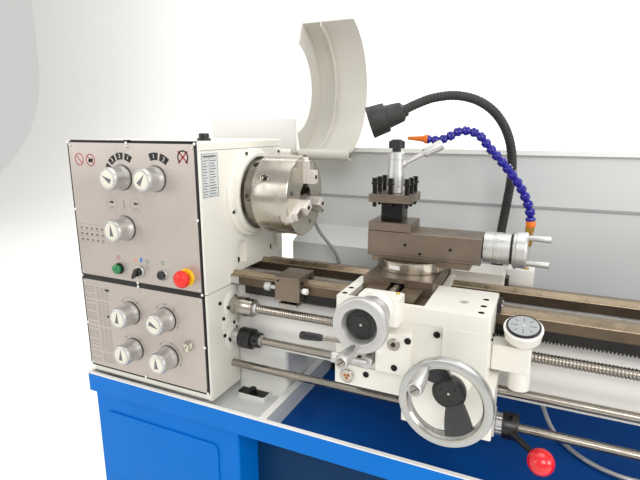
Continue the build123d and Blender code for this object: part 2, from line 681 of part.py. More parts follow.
def saddle():
    """H-shaped saddle: cross ways in the middle, wings over the front and rear rails."""
    under = RAIL_TOP + GAP
    left, right = CARRIAGE_LEFT, CARRIAGE_RIGHT
    front_wing = upright_block(left, right, CARRIAGE_FRONT, -58, under, WING_TOP, 5)
    front_lip = block(left, right, CARRIAGE_FRONT, -RAIL_OUT - 2, -197, under)
    rear_wing = upright_block(left, right, 74, 160, under, WING_TOP, 5)
    rear_lip = block(left, right, RAIL_OUT + 2, 160, -222, under)
    bridge = block(SLIDE_X - 84, SLIDE_X + 88, -58, 74, under, SLIDE_BOTTOM)
    body = front_wing + front_lip + rear_wing + rear_lip + bridge
    ways = block(SLIDE_X - SLIDE_HALF - 2, SLIDE_X + SLIDE_HALF + 2, -196, 161, SLIDE_BOTTOM, WING_TOP + 1)
    body -= ways
    dovetail = prism_y([(SLIDE_X - 46, SLIDE_BOTTOM - 0.5), (SLIDE_X - 56, DOVETAIL_TOP),
                        (SLIDE_X + 56, DOVETAIL_TOP), (SLIDE_X + 46, SLIDE_BOTTOM - 0.5)], -190, 160)
    slot = block(SLIDE_X - 16, SLIDE_X + 16, -191, 161, -185, DOVETAIL_TOP + 1)
    body += dovetail
    body -= slot
    boss = upright_block(SLIDE_X - 40, SLIDE_X + 40, -246, -196, -196.9, -146, 8)
    boss += turned([(0, 32), (20, 30)], (SLIDE_X, -246, CROSS_Z), (0, -1, 0))
    body += boss
    body -= v_ridge(FRONT_V_Y, left - 1, right + 1, 0.45)
    body -= v_ridge(REAR_V_Y, left - 1, right + 1, 0.45)
    body -= rod_y(-270, -190, SLIDE_X, CROSS_Z, CROSS_R + RUN)
    for x, y in ((left + 10, -186), (left + 10, -150), (right - 20, -186), (right - 20, -150),
                 (right - 20, -110)):
        body -= rod_z(WING_TOP - 8, WING_TOP + 1, x, y, 6)
    body -= rod_z(WING_TOP - 6, WING_TOP + 1, 566, -140, 9)
    clips = block(right, right + 8, -106, -62, under + 1, WING_TOP - 6)
    clips += block(right, right + 8, 76, 104, under + 1, WING_TOP - 6)
    wiper = clips - v_ridge(FRONT_V_Y, right - 1, right + 9, 0.45)
    return group(body, wiper)


def apron():
    """Apron casting in three steps, with bores for the screw and rod, and the dial housing."""
    left, right = CARRIAGE_LEFT, CARRIAGE_RIGHT
    top = -197.0
    body = upright_block(left, right, -208, -104.5, -352, top, 4, Axis.Y)
    body += block(left, right, -150, -WALL_OUT - 5, -352, -240)
    body += block(left, right, -150, -88, -375, -352)
    body += upright_block(470, 640, -214, -126, -402, -296, 5)
    body += upright_block(left, 500, -213, -206, -352, -309, 3)
    body += upright_block(541, right, -212, -206, -300, top, 2)
    body += upright_block(420, 488, -234, -206, -297, -216, 5)
    hub = turned([(0, 34), (20, 30), (34, 26)], (APRON_WHEEL[0], -206, APRON_WHEEL[2]), (0, -1, 0))
    body += hub
    body -= rod_x(left - 1, 650, SCREW_Y, SCREW_Z, SCREW_R + GAP)
    body -= rod_x(left - 1, 650, SCREW_Y, FEED_Z, FEED_R + GAP)
    body -= rod_y(-250, -140, APRON_WHEEL[0], APRON_WHEEL[2], 10 + RUN)
    for x, z in LEVER_SHAFTS:
        body -= rod_y(-235, -180, x, z, 8 + RUN)
    sight = turned([(0, 14), (3, 14), (5, 11)], (356, -213, -332), (0, -1, 0))
    lever_bracket = block(626, 640, -128, -84, -446, -402)
    lever_bracket -= rod_x(620, 645, CONTROL_Y, CONTROL_Z, CONTROL_R + GAP)
    dial_box = upright_block(right, 694, -156, -114, -286, -236, 5)
    dial_neck = rod_z(-324, -286, DIAL_START[0], -134, 20)
    dial_head = turned([(-14, 18), (0, 20), (12, 32), (30, 34), (34, 34)], DIAL_START, DIAL_TILT)
    return group(body + lever_bracket + dial_box + dial_head, dial_neck, sight)


def thread_dial():
    start = Vector(*DIAL_START) + Vector(*DIAL_TILT).normalized() * 34.4
    return turned([(0, 30), (4, 30), (5, 29)], tuple(start), DIAL_TILT)


def wheel_handle(x, y, z, length, direction=(0, -1, 0)):
    profile = [(0, 7), (8, 6), (14, 8), (length * 0.6, 11), (length - 6, 12), (length, 9)]
    return turned(profile, (x, y, z), direction)


def apron_handwheel():
    x, y, z = APRON_WHEEL
    radius = 80.0
    body = rod_y(y - 14, y + 10, x, z, radius) - rod_y(y - 15, y + 11, x, z, radius - 18)
    body = fillet(body.edges(), 7)
    hub = turned([(0, 27), (10, 30), (21, 30), (24, 26)], (x, y + 49, z), (0, -1, 0))
    cone = turned([(0, 22), (30, 67)], (x, y + 38, z), (0, -1, 0))
    dish = cone - Pos(0, -11, 0) * cone
    for angle in (116, 296):
        fan = prism_y([(0, 0), (radius - 13, -29), (radius - 13, 29)], -60, 60)
        body += dish & Pos(x, y, z) * Rot(0, -angle, 0) * fan
    body += hub
    body += rod_y(y + 30, -150, x, z, 10)
    turn = math.radians(121)
    body += wheel_handle(x + 68 * math.cos(turn), y - 12, z + 68 * math.sin(turn), 78)
    return body


def cross_handwheel():
    """Cross-feed screw with its dial, dished wheel and handle."""
    x, y, z = SLIDE_X, CROSS_WHEEL_Y, CROSS_Z
    edge = CROSS_WHEEL_R
    body = turned([(0, 20), (7, edge - 4), (11, edge), (23, edge), (27, edge - 3), (27, 26), (21, 24)],
                  (x, y + 14, z), (0, -1, 0))
    body += turned([(0, 31), (40, 34), (46, 34), (49, 20)], (x, -267, z), (0, -1, 0))
    body += turned([(0, 22), (6, 22), (8, 18)], (x, y - 6, z), (0, -1, 0))
    body += rod_y(-290, 96, x, z, CROSS_R)
    turn = math.radians(259)
    return body + wheel_handle(x + 40 * math.cos(turn), y - 10, z + 40 * math.sin(turn), 66)


def cross_slide():
    """Cross slide with its female dovetail, screw channel and nut."""
    x, half = SLIDE_X, SLIDE_HALF
    body = upright_block(x - half, x + half, SLIDE_FRONT, 156, SLIDE_BOTTOM + GAP, SLIDE_TOP, 3, Axis.Y)
    top = DOVETAIL_TOP + 0.4
    channel_top = CROSS_Z + CROSS_R + 2
    body -= prism_y([(x - 46.6, SLIDE_BOTTOM - 0.5), (x - 56.6, top), (x + 56.6, top),
                     (x + 46.6, SLIDE_BOTTOM - 0.5)], SLIDE_FRONT - 1, 157)
    body -= block(x - 15, x + 15, SLIDE_FRONT - 1, 157, top - 1, channel_top)
    nut = block(x - 14, x + 14, 0, 36, -183, channel_top) - rod_y(-10, 70, x, CROSS_Z, CROSS_R + RUN)
    return body + nut


def swivel_base():
    """Round graduated seat, the dovetail base of the compound rest and its nut."""
    seat = rod_z(SLIDE_TOP, RING_TOP, REST_X, REST_Y, RING_R, 1)
    base = block(345, 560, REST_Y - 36, REST_Y + 36, REST_BASE_BOTTOM, REST_BASE_TOP)
    dovetail = prism_x([(REST_Y - 22, REST_BASE_TOP - 1), (REST_Y - 28, REST_DOVETAIL_TOP),
                        (REST_Y + 28, REST_DOVETAIL_TOP), (REST_Y + 22, REST_BASE_TOP - 1)], 345, 560)
    nut = block(480, 505, REST_Y - 11, REST_Y + 11, REST_DOVETAIL_TOP - 1, REST_SCREW_Z + 11)
    nut -= rod_x(470, 520, REST_Y, REST_SCREW_Z, REST_SCREW_R + RUN)
    drum_room = rod_x(519, 561, REST_Y, REST_SCREW_Z, DRUM_ROOM_R)
    return seat + base + dovetail + nut - drum_room


def top_slide():
    """Top slide with its dovetail, screw channel, tool-post seat and stud."""
    left, right = TOP_SLIDE_LEFT, TOP_SLIDE_RIGHT
    body = upright_block(left, right, REST_Y - 43, REST_Y + 43, REST_BASE_TOP + GAP, TOP_SLIDE_TOP, 3, Axis.X)
    top = REST_DOVETAIL_TOP + 0.4
    body -= prism_x([(REST_Y - 22.6, REST_BASE_TOP - 1), (REST_Y - 28.6, top), (REST_Y + 28.6, top),
                     (REST_Y + 22.6, REST_BASE_TOP - 1)], left - 1, right + 1)
    body -= block(440, 572, REST_Y - 12, REST_Y + 12, top - 1, REST_SCREW_Z + 13)
    body -= rod_x(430, right + 1, REST_Y, REST_SCREW_Z, REST_SCREW_R + RUN)
    body += upright_block(left, left + 96, REST_Y - 43, REST_Y + 43, TOP_SLIDE_TOP, POST_SEAT, 3)
    return body + rod_z(POST_SEAT, STUD_TOP, POST_X, REST_Y, STUD_R)


def compound_handwheel():
    """Top-slide screw, graduated drum, wheel and its two handles."""
    x, z = TOP_SLIDE_RIGHT + 1, REST_SCREW_Z
    body = turned([(0, 31), (20, 33), (56, 33), (58, 30), (59, 36), (65, 38), (81, 38), (85, 34)],
                  (x, REST_Y, z), (1, 0, 0))
    body += rod_x(445, x + 10, REST_Y, z, REST_SCREW_R)
    for angle in (70, 250):
        turn = math.radians(angle)
        body += wheel_handle(x + 80, REST_Y + 26 * math.cos(turn), z + 26 * math.sin(turn), 48, (1, 0, 0))
    return body


def tool_post():
    """Four-way tool post and its eight square-head screws."""
    half = POST_HALF
    body = upright_block(POST_X - 24, POST_X + 24, REST_Y - 24, REST_Y + 24, POST_SEAT + GAP,
                         POST_PLATE_BOTTOM, 3)
    body += upright_block(POST_X - half, POST_X + half, REST_Y - half, REST_Y + half, POST_PLATE_BOTTOM,
                          POST_PLATE_TOP, 2)
    body -= rod_z(POST_SEAT - 1, POST_PLATE_TOP + 1, POST_X, REST_Y, STUD_R + RUN)
    for dx, dy in ((-36, -36), (-36, 0), (-36, 36), (36, -36), (36, 0), (36, 36), (0, -36), (0, 36)):
        x, y = POST_X + dx, REST_Y + dy
        body += rod_z(POST_PLATE_BOTTOM - 13, POST_PLATE_BOTTOM, x, y, 4.5)
        body += rod_z(POST_PLATE_TOP, POST_PLATE_TOP + 20, x, y, 5.5)
        body += rod_z(POST_PLATE_TOP + 20, POST_PLATE_TOP + 24, x, y, 7.5)
        body += block(x - 5, x + 5, y - 5, y + 5, POST_PLATE_TOP + 24, POST_PLATE_TOP + 35)
    return body


def clamp_lever():
    """Tapered clamp nut, its lever and the star knob on top."""
    low = POST_PLATE_TOP + 0.4
    body = turned([(low, 18), (32, 18), (36, 19), (72, 18), (80, 17), (108, 16), (110, 13)],
                  (POST_X, REST_Y, 0), (0, 0, 1))
    body -= rod_z(low - 1, STUD_TOP + 0.4, POST_X, REST_Y, STUD_R + RUN)
    body += turned([(109, 7), (115, 7), (117, 18), (133, 18), (137, 14)], (POST_X, REST_Y, 0), (0, 0, 1))
    start = Vector(POST_X + 16, REST_Y + 5, 84)
    heading = Vector(73, 24, 40).normalized()
    body += bar(tuple(start), tuple(start + heading * 50), 6, 6)
    return body + bar(tuple(start + heading * 48), tuple(start + heading * 92), 10, 11.5)


def half_nut_lever():
    x, z = LEVER_SHAFTS[0]
    body = rod_y(-240, -182, x, z, 8) + turned([(0, 14), (24, 12)], (x, -208.5, z), (0, -1, 0))
    body += bar((x, -230, z + 2), (310, -240, -248), 5, 5)
    return body + bar((312, -240, -248), (266, -245, -248), 7, 8.5)


def feed_lever():
    x, z = LEVER_SHAFTS[1]
    body = rod_y(-240, -182, x, z, 8) + turned([(0, 14), (24, 12)], (x, -213.5, z), (0, -1, 0))
    return body + bar((x, -238, z + 2), (342, -266, -270), 6, 11)


def control_lever():
    """Hub on the control rod with its clamp ring, bent arm and ball grip."""
    hub = turned([(0, 22), (14, 22), (14, 27), (42, 27), (44, 25)], (641, CONTROL_Y, CONTROL_Z), (1, 0, 0))
    hub -= rod_x(640, 690, CONTROL_Y, CONTROL_Z, CONTROL_R + GAP)
    arm = bar((672, -126, -428), (720, -184, -430), 7, 6)
    ball = Pos(727, -194, -431) * Sphere(24)
    return hub + arm + ball


def coolant_line():
    """Supply block, pipe and tap on the saddle, and the jointed hose to the nozzle."""
    base = upright_block(CARRIAGE_RIGHT + 1, 684, 110, 156, -196, -158, 4)
    pipe = rod_z(-159, -100, 665, 124, 5) + rod_z(-104, -70, 665, 124, 8) + rod_z(-72, -44, 665, 124, 10)
    tap = rod_y(100, 124, 665, -86, 4)
    route = HOSE_ROUTE
    hose = None
    for start, end in zip(route, route[1:]):
        piece = bar(start, end, 9, 9) + Pos(*start) * Sphere(9.4)
        hose = piece if hose is None else hose + piece
    last, tip = Vector(*route[-1]), Vector(*NOZZLE_TIP)
    hose += bar(tuple(last), tuple(last + (tip - last) * 0.3), 11, 9)
    hose += bar(tuple(last + (tip - last) * 0.2), tuple(tip), 7, 4)
    return group(base + pipe + tap, hose)


def lamp():
    """Work lamp: foot on the saddle, gooseneck arm and stepped shade."""
    foot = turned([(0, 24), (8, 24), (12, 14), (26, 14)], (597, 188, -190), (0, 0, 1))
    plate = block(570, 623, 160, 214, -196, -190) + block(570, 623, 160, 166, -196, -168)
    arm = None
    for start, end in zip(LAMP_ROUTE, LAMP_ROUTE[1:]):
        piece = bar(start, end, LAMP_ARM_R, LAMP_ARM_R) + Pos(*start) * Sphere(LAMP_ARM_R)
        arm = piece if arm is None else arm + piece
    start = Vector(*LAMP_ROUTE[-1])
    heading = Vector(*SHADE_HEADING).normalized()
    shade = turned([(-8, 16), (4, 22), (34, 26), (36, 33), (74, 37)], tuple(start), tuple(heading))
    shade -= turned([(40, 29), (80, 34)], tuple(start), tuple(heading))
    return foot + plate + arm + shade


# Tailstock ------------------------------------------------------------------------------

def tailstock_base():
    """Sole plate that rides on the inner ways."""
    under = RAIL_TOP + GAP
    body = upright_block(TAIL_X, TAIL_X + 215, -66, 70, under, -128, 5)
    body -= v_ridge(REAR_V_Y, TAIL_X - 1, TAIL_X + 216, 0.45)
    clamp = block(TAIL_X + 60, TAIL_X + 150, -37, 37, -226, under)
    clamp += block(TAIL_X + 60, TAIL_X + 150, -50, 50, -238, -226)
    return group(body + clamp)


def tailstock_body():
    barrel = rod_x(TAIL_X - 6, TAIL_X + 215, 0, 0, 48, 4)
    web = upright_block(TAIL_X + 10, TAIL_X + 200, -38, 38, -128, 0, 12)
    foot = upright_block(TAIL_X, TAIL_X + 212, -62, 62, -128 + 0.02, -100, 8)
    body = barrel + web + foot
    body -= rod_x(TAIL_X - 10, TAIL_X + 190, 0, 0, 25 + RUN)
    body -= rod_x(TAIL_X + 180, TAIL_X + 220, 0, 0, 12 + RUN)
    body -= rod_z(40, 60, TAIL_X + 40, 0, 8 + RUN)
    body -= rod_y(30, 70, TAIL_X + 150, -60, 9 + RUN)
    return body


def tailstock_quill():
    body = rod_x(TAIL_X - 40, TAIL_X + 150, 0, 0, 25)
    centre = turned([(0, 0.5), (38, 14), (52, 14)], (TAIL_X - 90, 0, 0), (1, 0, 0))
    return body + centre - rod_x(TAIL_X + 30, TAIL_X + 151, 0, 0, 13)


def tailstock_handwheel():
    x = TAIL_X + 250
    body = rod_x(x, x + 22, 0, 0, 75) - rod_x(x - 1, x + 23, 0, 0, 58)
    body = fillet(body.edges(), 6)
    body += rod_x(TAIL_X + 216, x + 26, 0, 0, 26)
    for angle in (30, 150, 270):
        body += Rot(angle, 0, 0) * block(x + 6, x + 16, -9, 9, 0, 64)
    body += rod_x(TAIL_X + 40, TAIL_X + 220, 0, 0, 12)
    return body + wheel_handle(x + 18, 0, 62, 72, (1, 0, 0))


def quill_lock():
    x = TAIL_X + 40
    body = rod_z(41, 74, x, 0, 8) + rod_z(49, 74, x, 0, 14)
    return body + bar((x, 0, 66), (x, -78, 92), 6, 6) + Pos(x, -84, 94) * Sphere(12)


def tailstock_clamp():
    x = TAIL_X + 150
    body = rod_y(36, 92, x, -60, 9) + rod_y(50, 92, x, -60, 18)
    return body + bar((x, 78, -60), (x + 40, 84, 70), 8, 7) + Pos(x + 43, 84, 78) * Sphere(15)


NODES = {
    "bed": bed, "chip_tray": chip_tray, "stand": stand,
    "headstock_casting": headstock_casting, "headstock_lid": headstock_lid,
    "front_panels": front_panels, "feed_gearbox": feed_gearbox, "end_cover": end_cover,
    "electrical_box": electrical_box,
    "splash_guard": splash_guard, "motor": motor,
    "bed_stop": bed_stop, "drive_belt": drive_belt, "switch_cable": switch_cable,
    "feed_conduit": feed_conduit,
    "spindle": spindle, "chuck_body": chuck_body, "chuck_scroll": chuck_scroll,
    "chuck_guard": chuck_guard, "motor_pulley": motor_pulley, "input_pulley": input_pulley,
    "idler_gear": idler_gear, "leadscrew": leadscrew, "feed_rod": feed_rod, "control_rod": control_rod,
    "estop_button": estop_button, "selector_switch": selector_switch, "push_button": push_button,
    "saddle": saddle, "apron": apron, "thread_dial": thread_dial, "apron_handwheel": apron_handwheel,
    "cross_handwheel": cross_handwheel, "cross_slide": cross_slide, "swivel_base": swivel_base,
    "top_slide": top_slide, "compound_handwheel": compound_handwheel, "tool_post": tool_post,
    "clamp_lever": clamp_lever, "half_nut_lever": half_nut_lever, "feed_lever": feed_lever,
    "control_lever": control_lever, "coolant_line": coolant_line, "lamp": lamp,
    "tailstock_base": tailstock_base, "tailstock_body": tailstock_body,
    "tailstock_quill": tailstock_quill, "tailstock_handwheel": tailstock_handwheel,
    "quill_lock": quill_lock, "tailstock_clamp": tailstock_clamp,
}


def write_parts():
    os.makedirs("parts", exist_ok=True)
    built = {name: make() for name, make in NODES.items()}
    for index, angle in enumerate(JAW_ANGLES):
        built[f"chuck_jaw_{index + 1}"] = chuck_jaw(angle)
    for name, (x, z) in KNOB_PLACES.items():
        built[name] = knob(x, z)
    low = [1e9] * 3
    high = [-1e9] * 3
    for name, shape in built.items():
        placed = group(shape).moved(PLACE)
        export_step(placed, f"parts/{name}.step")
        box = placed.bounding_box()
        low = [min(a, b) for a, b in zip(low, tuple(box.min))]
        high = [max(a, b) for a, b in zip(high, tuple(box.max))]
    print(len(built), "nodes, from", [round(v, 2) for v in low], "to", [round(v, 2) for v in high])


write_parts()
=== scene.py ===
import json
import math

import bmesh
import bpy
from mathutils import Matrix, Vector


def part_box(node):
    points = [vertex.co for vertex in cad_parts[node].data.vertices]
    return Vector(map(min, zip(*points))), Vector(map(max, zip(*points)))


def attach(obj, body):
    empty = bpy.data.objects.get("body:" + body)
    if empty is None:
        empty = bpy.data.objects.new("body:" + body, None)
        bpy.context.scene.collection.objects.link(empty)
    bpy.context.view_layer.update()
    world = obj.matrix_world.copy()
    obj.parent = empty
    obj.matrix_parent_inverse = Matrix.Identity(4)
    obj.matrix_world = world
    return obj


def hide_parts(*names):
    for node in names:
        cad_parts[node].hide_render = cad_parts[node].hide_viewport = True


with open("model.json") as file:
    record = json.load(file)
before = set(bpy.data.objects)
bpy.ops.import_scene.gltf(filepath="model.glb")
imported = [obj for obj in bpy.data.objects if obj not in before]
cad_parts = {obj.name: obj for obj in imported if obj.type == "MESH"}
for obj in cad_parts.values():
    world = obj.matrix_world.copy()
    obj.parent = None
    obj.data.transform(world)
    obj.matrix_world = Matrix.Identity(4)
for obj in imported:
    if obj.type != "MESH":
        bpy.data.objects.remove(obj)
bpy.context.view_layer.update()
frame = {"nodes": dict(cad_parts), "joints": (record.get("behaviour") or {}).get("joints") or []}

# Machine millimetres: x from the headstock's right face, y and z from the spindle axis.
JOINTS = {joint["name"]: joint for joint in frame["joints"]}
SPINDLE = Vector(JOINTS["spindle_spin"]["pos_m"])
ORIGIN = Vector((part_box("headstock_lid")[1].x, SPINDLE.y, SPINDLE.z))
FLOOR_Z = -ORIGIN.z * 1000
PANEL_Y = -209.0
TRAY_TOP = -489.5
SCREW_Y, SCREW_Z, FEED_Z = -100.0, -272.0, -355.0
CONTROL_AXIS = (0, -106, -427)
WING_TOP = -166.0
SWIVEL_CENTRE = (426, -4, 0)
POST = (384.0, -4.0)
APRON_SIGHT = (356, -213, -332)
DIAL_START = Vector((676, -138, -228))
DIAL_TILT = Vector((0, -0.34, 0.94)).normalized()
OUT = Vector((0, -1, 0))


def place(point):
    """A machine point in millimetres as a frame point in metres."""
    return ORIGIN + Vector(point) / 1000


def machine_box(node):
    """A CAD node's lowest and highest corners in machine millimetres."""
    low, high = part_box(node)
    return (low - ORIGIN) * 1000, (high - ORIGIN) * 1000


# Camera ---------------------------------------------------------------------------------

CAMERA_PLACE = (688.0, -1068.1, 159.1)
CAMERA_YAW = 24.7
CAMERA_PITCH = -12.8
FOCAL_SHARE = 490 / 640


def make_camera():
    data = bpy.data.cameras.new("camera")
    data.sensor_width = 36.0
    data.lens = data.sensor_width * FOCAL_SHARE
    camera = bpy.data.objects.new("camera", data)
    camera.location = place(CAMERA_PLACE)
    camera.rotation_euler = (math.radians(90 + CAMERA_PITCH), 0, math.radians(CAMERA_YAW))
    bpy.context.scene.collection.objects.link(camera)
    bpy.context.scene.camera = camera


make_camera()


# Materials ------------------------------------------------------------------------------

def colour(code):
    """Linear colour from a hex code."""
    parts = [int(code[i:i + 2], 16) / 255 for i in (0, 2, 4)]
    return [c / 12.92 if c <= 0.04045 else ((c + 0.055) / 1.055) ** 2.4 for c in parts] + [1.0]


class Paint:
    """A material under construction: one Principled shader fed by layered noise."""

    def __init__(self, name):
        self.material = bpy.data.materials.new(name)
        self.material.use_nodes = True
        self.tree = self.material.node_tree
        self.shader = self.tree.nodes["Principled BSDF"]
        self.coords = self.node("ShaderNodeTexCoord").outputs["Object"]

    def feed(self, socket, value):
        """Links a value into a socket, or sets a constant on it."""
        if isinstance(value, bpy.types.NodeSocket):
            self.tree.links.new(value, socket)
        else:
            socket.default_value = value

    def node(self, kind, inputs=(), **settings):
        made = self.tree.nodes.new(kind)
        for key, value in settings.items():
            setattr(made, key, value)
        for key, value in dict(inputs).items():
            self.feed(made.inputs[key], value)
        return made

    def math(self, kind, a, b=0.0, clamp=False):
        return self.node("ShaderNodeMath", {0: a, 1: b}, operation=kind, use_clamp=clamp).outputs[0]

    def noise(self, scale, stretch=(1, 1, 1), detail=4, coords=None):
        """Noise in cycles per metre, squeezed along an axis by its stretch."""
        mapped = self.node("ShaderNodeMapping", {"Vector": coords or self.coords, "Scale": stretch})
        made = self.node("ShaderNodeTexNoise", {"Vector": mapped.outputs[0], "Scale": scale,
                                                "Detail": detail})
        return made.outputs["Fac"]

    def remap(self, value, low, high, start=0.3, end=0.7):
        made = self.node("ShaderNodeMapRange", {"Value": value, "From Min": start, "From Max": end,
                                                "To Min": low, "To Max": high})
        return made.outputs["Result"]

    def mix(self, factor, a, b):
        made = self.node("ShaderNodeMix", {"Factor": factor}, data_type="RGBA")
        self.feed(made.inputs[6], a)
        self.feed(made.inputs[7], b)
        return made.outputs[2]

    def ring_coords(self, centre, axis):
        """Coordinates that are constant round an axis, for marks left by turning."""
        moved = self.node("ShaderNodeVectorMath", {0: self.coords, 1: tuple(-c for c in centre)},
                          operation="ADD")
        parts = self.node("ShaderNodeSeparateXYZ", {"Vector": moved.outputs[0]}).outputs
        others = [i for i in range(3) if i != axis]
        squares = [self.math("POWER", self.math("ABSOLUTE", parts[i]), 2.0) for i in others]
        radius = self.math("SQRT", self.math("ADD", squares[0], squares[1]))
        return self.node("ShaderNodeCombineXYZ", {"X": parts[axis], "Y": radius, "Z": 0.0}).outputs[0]

    def inside(self, low, high):
        """1 inside a box given in machine millimetres, 0 outside."""
        parts = self.node("ShaderNodeSeparateXYZ", {"Vector": self.coords}).outputs
        result = None
        for axis in range(3):
            for limit, test in ((low[axis], "GREATER_THAN"), (high[axis], "LESS_THAN")):
                if limit is None:
                    continue
                edge = ORIGIN[axis] + limit / 1000
                fits = self.math(test, parts[axis], edge)
                result = fits if result is None else self.math("MULTIPLY", result, fits)
        return result

    def layer(self, look):
        """Colour, roughness, metallic and height of one look."""
        code, rough, metal = look["colour"], look["rough"], look.get("metal", 0.0)
        coords = look["rings"](self) if "rings" in look else None
        base = colour(code)
        patches = self.noise(look.get("patch", 9), detail=5)
        shift = look.get("mottle", 0.06)
        dark = [c * (1 - shift) for c in base[:3]] + [1.0]
        light = [min(1.0, c * (1 + shift)) for c in base[:3]] + [1.0]
        tint = self.mix(self.remap(patches, 0.0, 1.0), dark, light)
        grain = self.noise(look.get("grain", 700), look.get("stretch", (1, 1, 1)), 3, coords)
        if look.get("grain_tint"):
            tint = self.mix(self.remap(grain, 0.0, look["grain_tint"], 0.35, 0.65), tint,
                            [c * 0.35 for c in base[:3]] + [1.0])
        if look.get("stain"):
            spots = self.noise(look.get("stain_size", 40), detail=8)
            tint = self.mix(self.remap(spots, 0.0, look["stain"], 0.52, 0.72), tint,
                            colour(look.get("stain_colour", "2A2018")))
        wander = look.get("rough_span", 0.08)
        smooth = self.noise(look.get("patch", 9) * 3, detail=6)
        roughness = self.remap(smooth, rough - wander, rough + wander)
        roughness = self.math("ADD", roughness, self.math("MULTIPLY", grain, look.get("grain_rough", 0.04)))
        height = self.math("MULTIPLY", grain, look.get("depth", 0.05))
        return tint, roughness, metal, height

    def build(self, base, regions=(), coat=0.0, gloss=0.5):
        """Joins a base look with looks that hold inside boxes."""
        tint, rough, metal, height = self.layer(base)
        for region in regions:
            mask = None
            for low, high in region["boxes"]:
                part = self.inside(low, high)
                mask = part if mask is None else self.math("MAXIMUM", mask, part)
            other = self.layer(region["look"])
            tint = self.mix(mask, tint, other[0])
            rough = self.blend_value(mask, rough, other[1])
            metal = self.blend_value(mask, metal, other[2])
            height = self.blend_value(mask, height, other[3])
        for socket, value in (("Base Color", tint), ("Roughness", rough), ("Metallic", metal)):
            self.feed(self.shader.inputs[socket], value)
        made = self.node("ShaderNodeBump", {"Height": height, "Strength": 1.0, "Distance": 0.001})
        self.tree.links.new(made.outputs["Normal"], self.shader.inputs["Normal"])
        self.shader.inputs["Coat Weight"].default_value = coat
        self.shader.inputs["Specular IOR Level"].default_value = gloss
        self.shader.inputs["Coat Roughness"].default_value = 0.12
        return self.material

    def blend_value(self, mask, a, b):
        """Mixes two plain values, unless both are the same constant."""
        if isinstance(a, float) and isinstance(b, float) and a == b:
            return a
        made = self.node("ShaderNodeMix", {"Factor": mask}, data_type="FLOAT")
        self.feed(made.inputs[2], a)
        self.feed(made.inputs[3], b)
        return made.outputs[0]


def spindle_rings(paint):
    """Coordinates of turning marks round the spindle's axis."""
    return paint.ring_coords(tuple(place((0, 0, 0))), 0)


CAST = dict(colour="E6E3D9", rough=0.34, patch=6, mottle=0.03, grain=420, depth=0.10)
BLUE = dict(colour="006FC8", rough=0.36, patch=5, mottle=0.05, grain=500, depth=0.10)
SHEET = dict(colour="D6D8D6", rough=0.42, patch=4, mottle=0.03, grain=600, depth=0.06)
WHITE = dict(colour="EFEEE9", rough=0.38, patch=6, mottle=0.02, grain=500, depth=0.08)
IRON = dict(colour="8A7B68", rough=0.36, metal=0.85, patch=14, mottle=0.16, grain=900, stretch=(0.05, 1, 1),
            depth=0.06, grain_tint=0.15, stain=0.25, stain_colour="4A3E32")
# rail look: partly the ground steel's own lighter tone, partly a painted highlight for the lamps' reflection
# on the up-facing V slopes
RAIL_AND_HIGHLIGHT = dict(colour="A5957E", rough=0.26, metal=0.9, patch=12, mottle=0.10, grain=1000, stretch=(0.03, 1, 1),
            depth=0.05, grain_tint=0.10, stain=0.22, stain_colour="6A5A46")
STEEL = dict(colour="A8A196", rough=0.27, metal=0.95, patch=14, mottle=0.10, grain=600, stretch=(0.2, 1, 1),
             depth=0.03, grain_tint=0.05)
POLISH = dict(colour="C2BCB0", rough=0.20, metal=1.0, patch=10, mottle=0.05, grain=1500, depth=0.02,
              grain_tint=0.04)
SATIN = dict(colour="CBCAC7", rough=0.40, metal=0.85, patch=20, mottle=0.05, grain=1400, depth=0.05)
PANEL = dict(colour="C3B9B1", rough=0.36, metal=0.55, patch=3, mottle=0.04, grain=1300, stretch=(1, 1, 0.02),
             depth=0.035, grain_tint=0.10)
BLACK = dict(colour="151413", rough=0.38, patch=16, mottle=0.25, grain=900, depth=0.08)
OXIDE = dict(colour="1D1B19", rough=0.30, metal=0.55, patch=30, mottle=0.3, grain=1200, depth=0.05)
INK = dict(colour="141312", rough=0.55, grain=1500, depth=0.02)
RUBBER = dict(colour="232323", rough=0.62, grain=900, depth=0.12)
CABLE = dict(colour="8D8F8C", rough=0.48, patch=25, mottle=0.08, grain=800, depth=0.08)
CREAM = dict(colour="E4DFD0", rough=0.40, patch=20, mottle=0.03, grain=1500, depth=0.02)
POINTER = dict(colour="6E7276", rough=0.35, metal=0.5, grain=1500, depth=0.02)
BRASS = dict(colour="C9A04A", rough=0.28, metal=1.0, patch=30, mottle=0.12, grain=1200, depth=0.05)
COPPER = dict(colour="B4703A", rough=0.35, metal=1.0, patch=60, mottle=0.2, grain=900, depth=0.1)
HOSE = dict(colour="170F8E", rough=0.22, patch=20, mottle=0.08, grain=900, depth=0.03)
ORANGE = dict(colour="F07A1E", rough=0.35, patch=20, mottle=0.05, grain=900, depth=0.04)
RED = dict(colour="E01420", rough=0.22, patch=12, mottle=0.04, grain=900, depth=0.02)
SIGNAL = dict(colour="E8281E", rough=0.32, patch=12, mottle=0.04, grain=900, depth=0.03)
YELLOW = dict(colour="F2C21A", rough=0.38, patch=12, mottle=0.04, grain=900, depth=0.03)
GREEN = dict(colour="007A42", rough=0.16, patch=12, mottle=0.05, grain=900, depth=0.02)
LAMP = dict(colour="2B2927", rough=0.52, patch=20, mottle=0.15, grain=900, depth=0.25)
GLASS = dict(colour="D8D2B8", rough=0.08, patch=12, mottle=0.04, grain=900, depth=0.0)
LABEL = dict(colour="D2D4D4", rough=0.34, metal=0.1, patch=9, mottle=0.05, grain=1200, depth=0.03)
PRINT_RED = dict(colour="A83038", rough=0.5, grain=1500, depth=0.02)
PRINT_GREY = dict(colour="8E8880", rough=0.5, metal=0.3, grain=1500, depth=0.02)
PRINT_WHITE = dict(colour="ECEBE6", rough=0.5, grain=1500, depth=0.02)


def simple(name, look, **more):
    return Paint(name).build(look, **more)


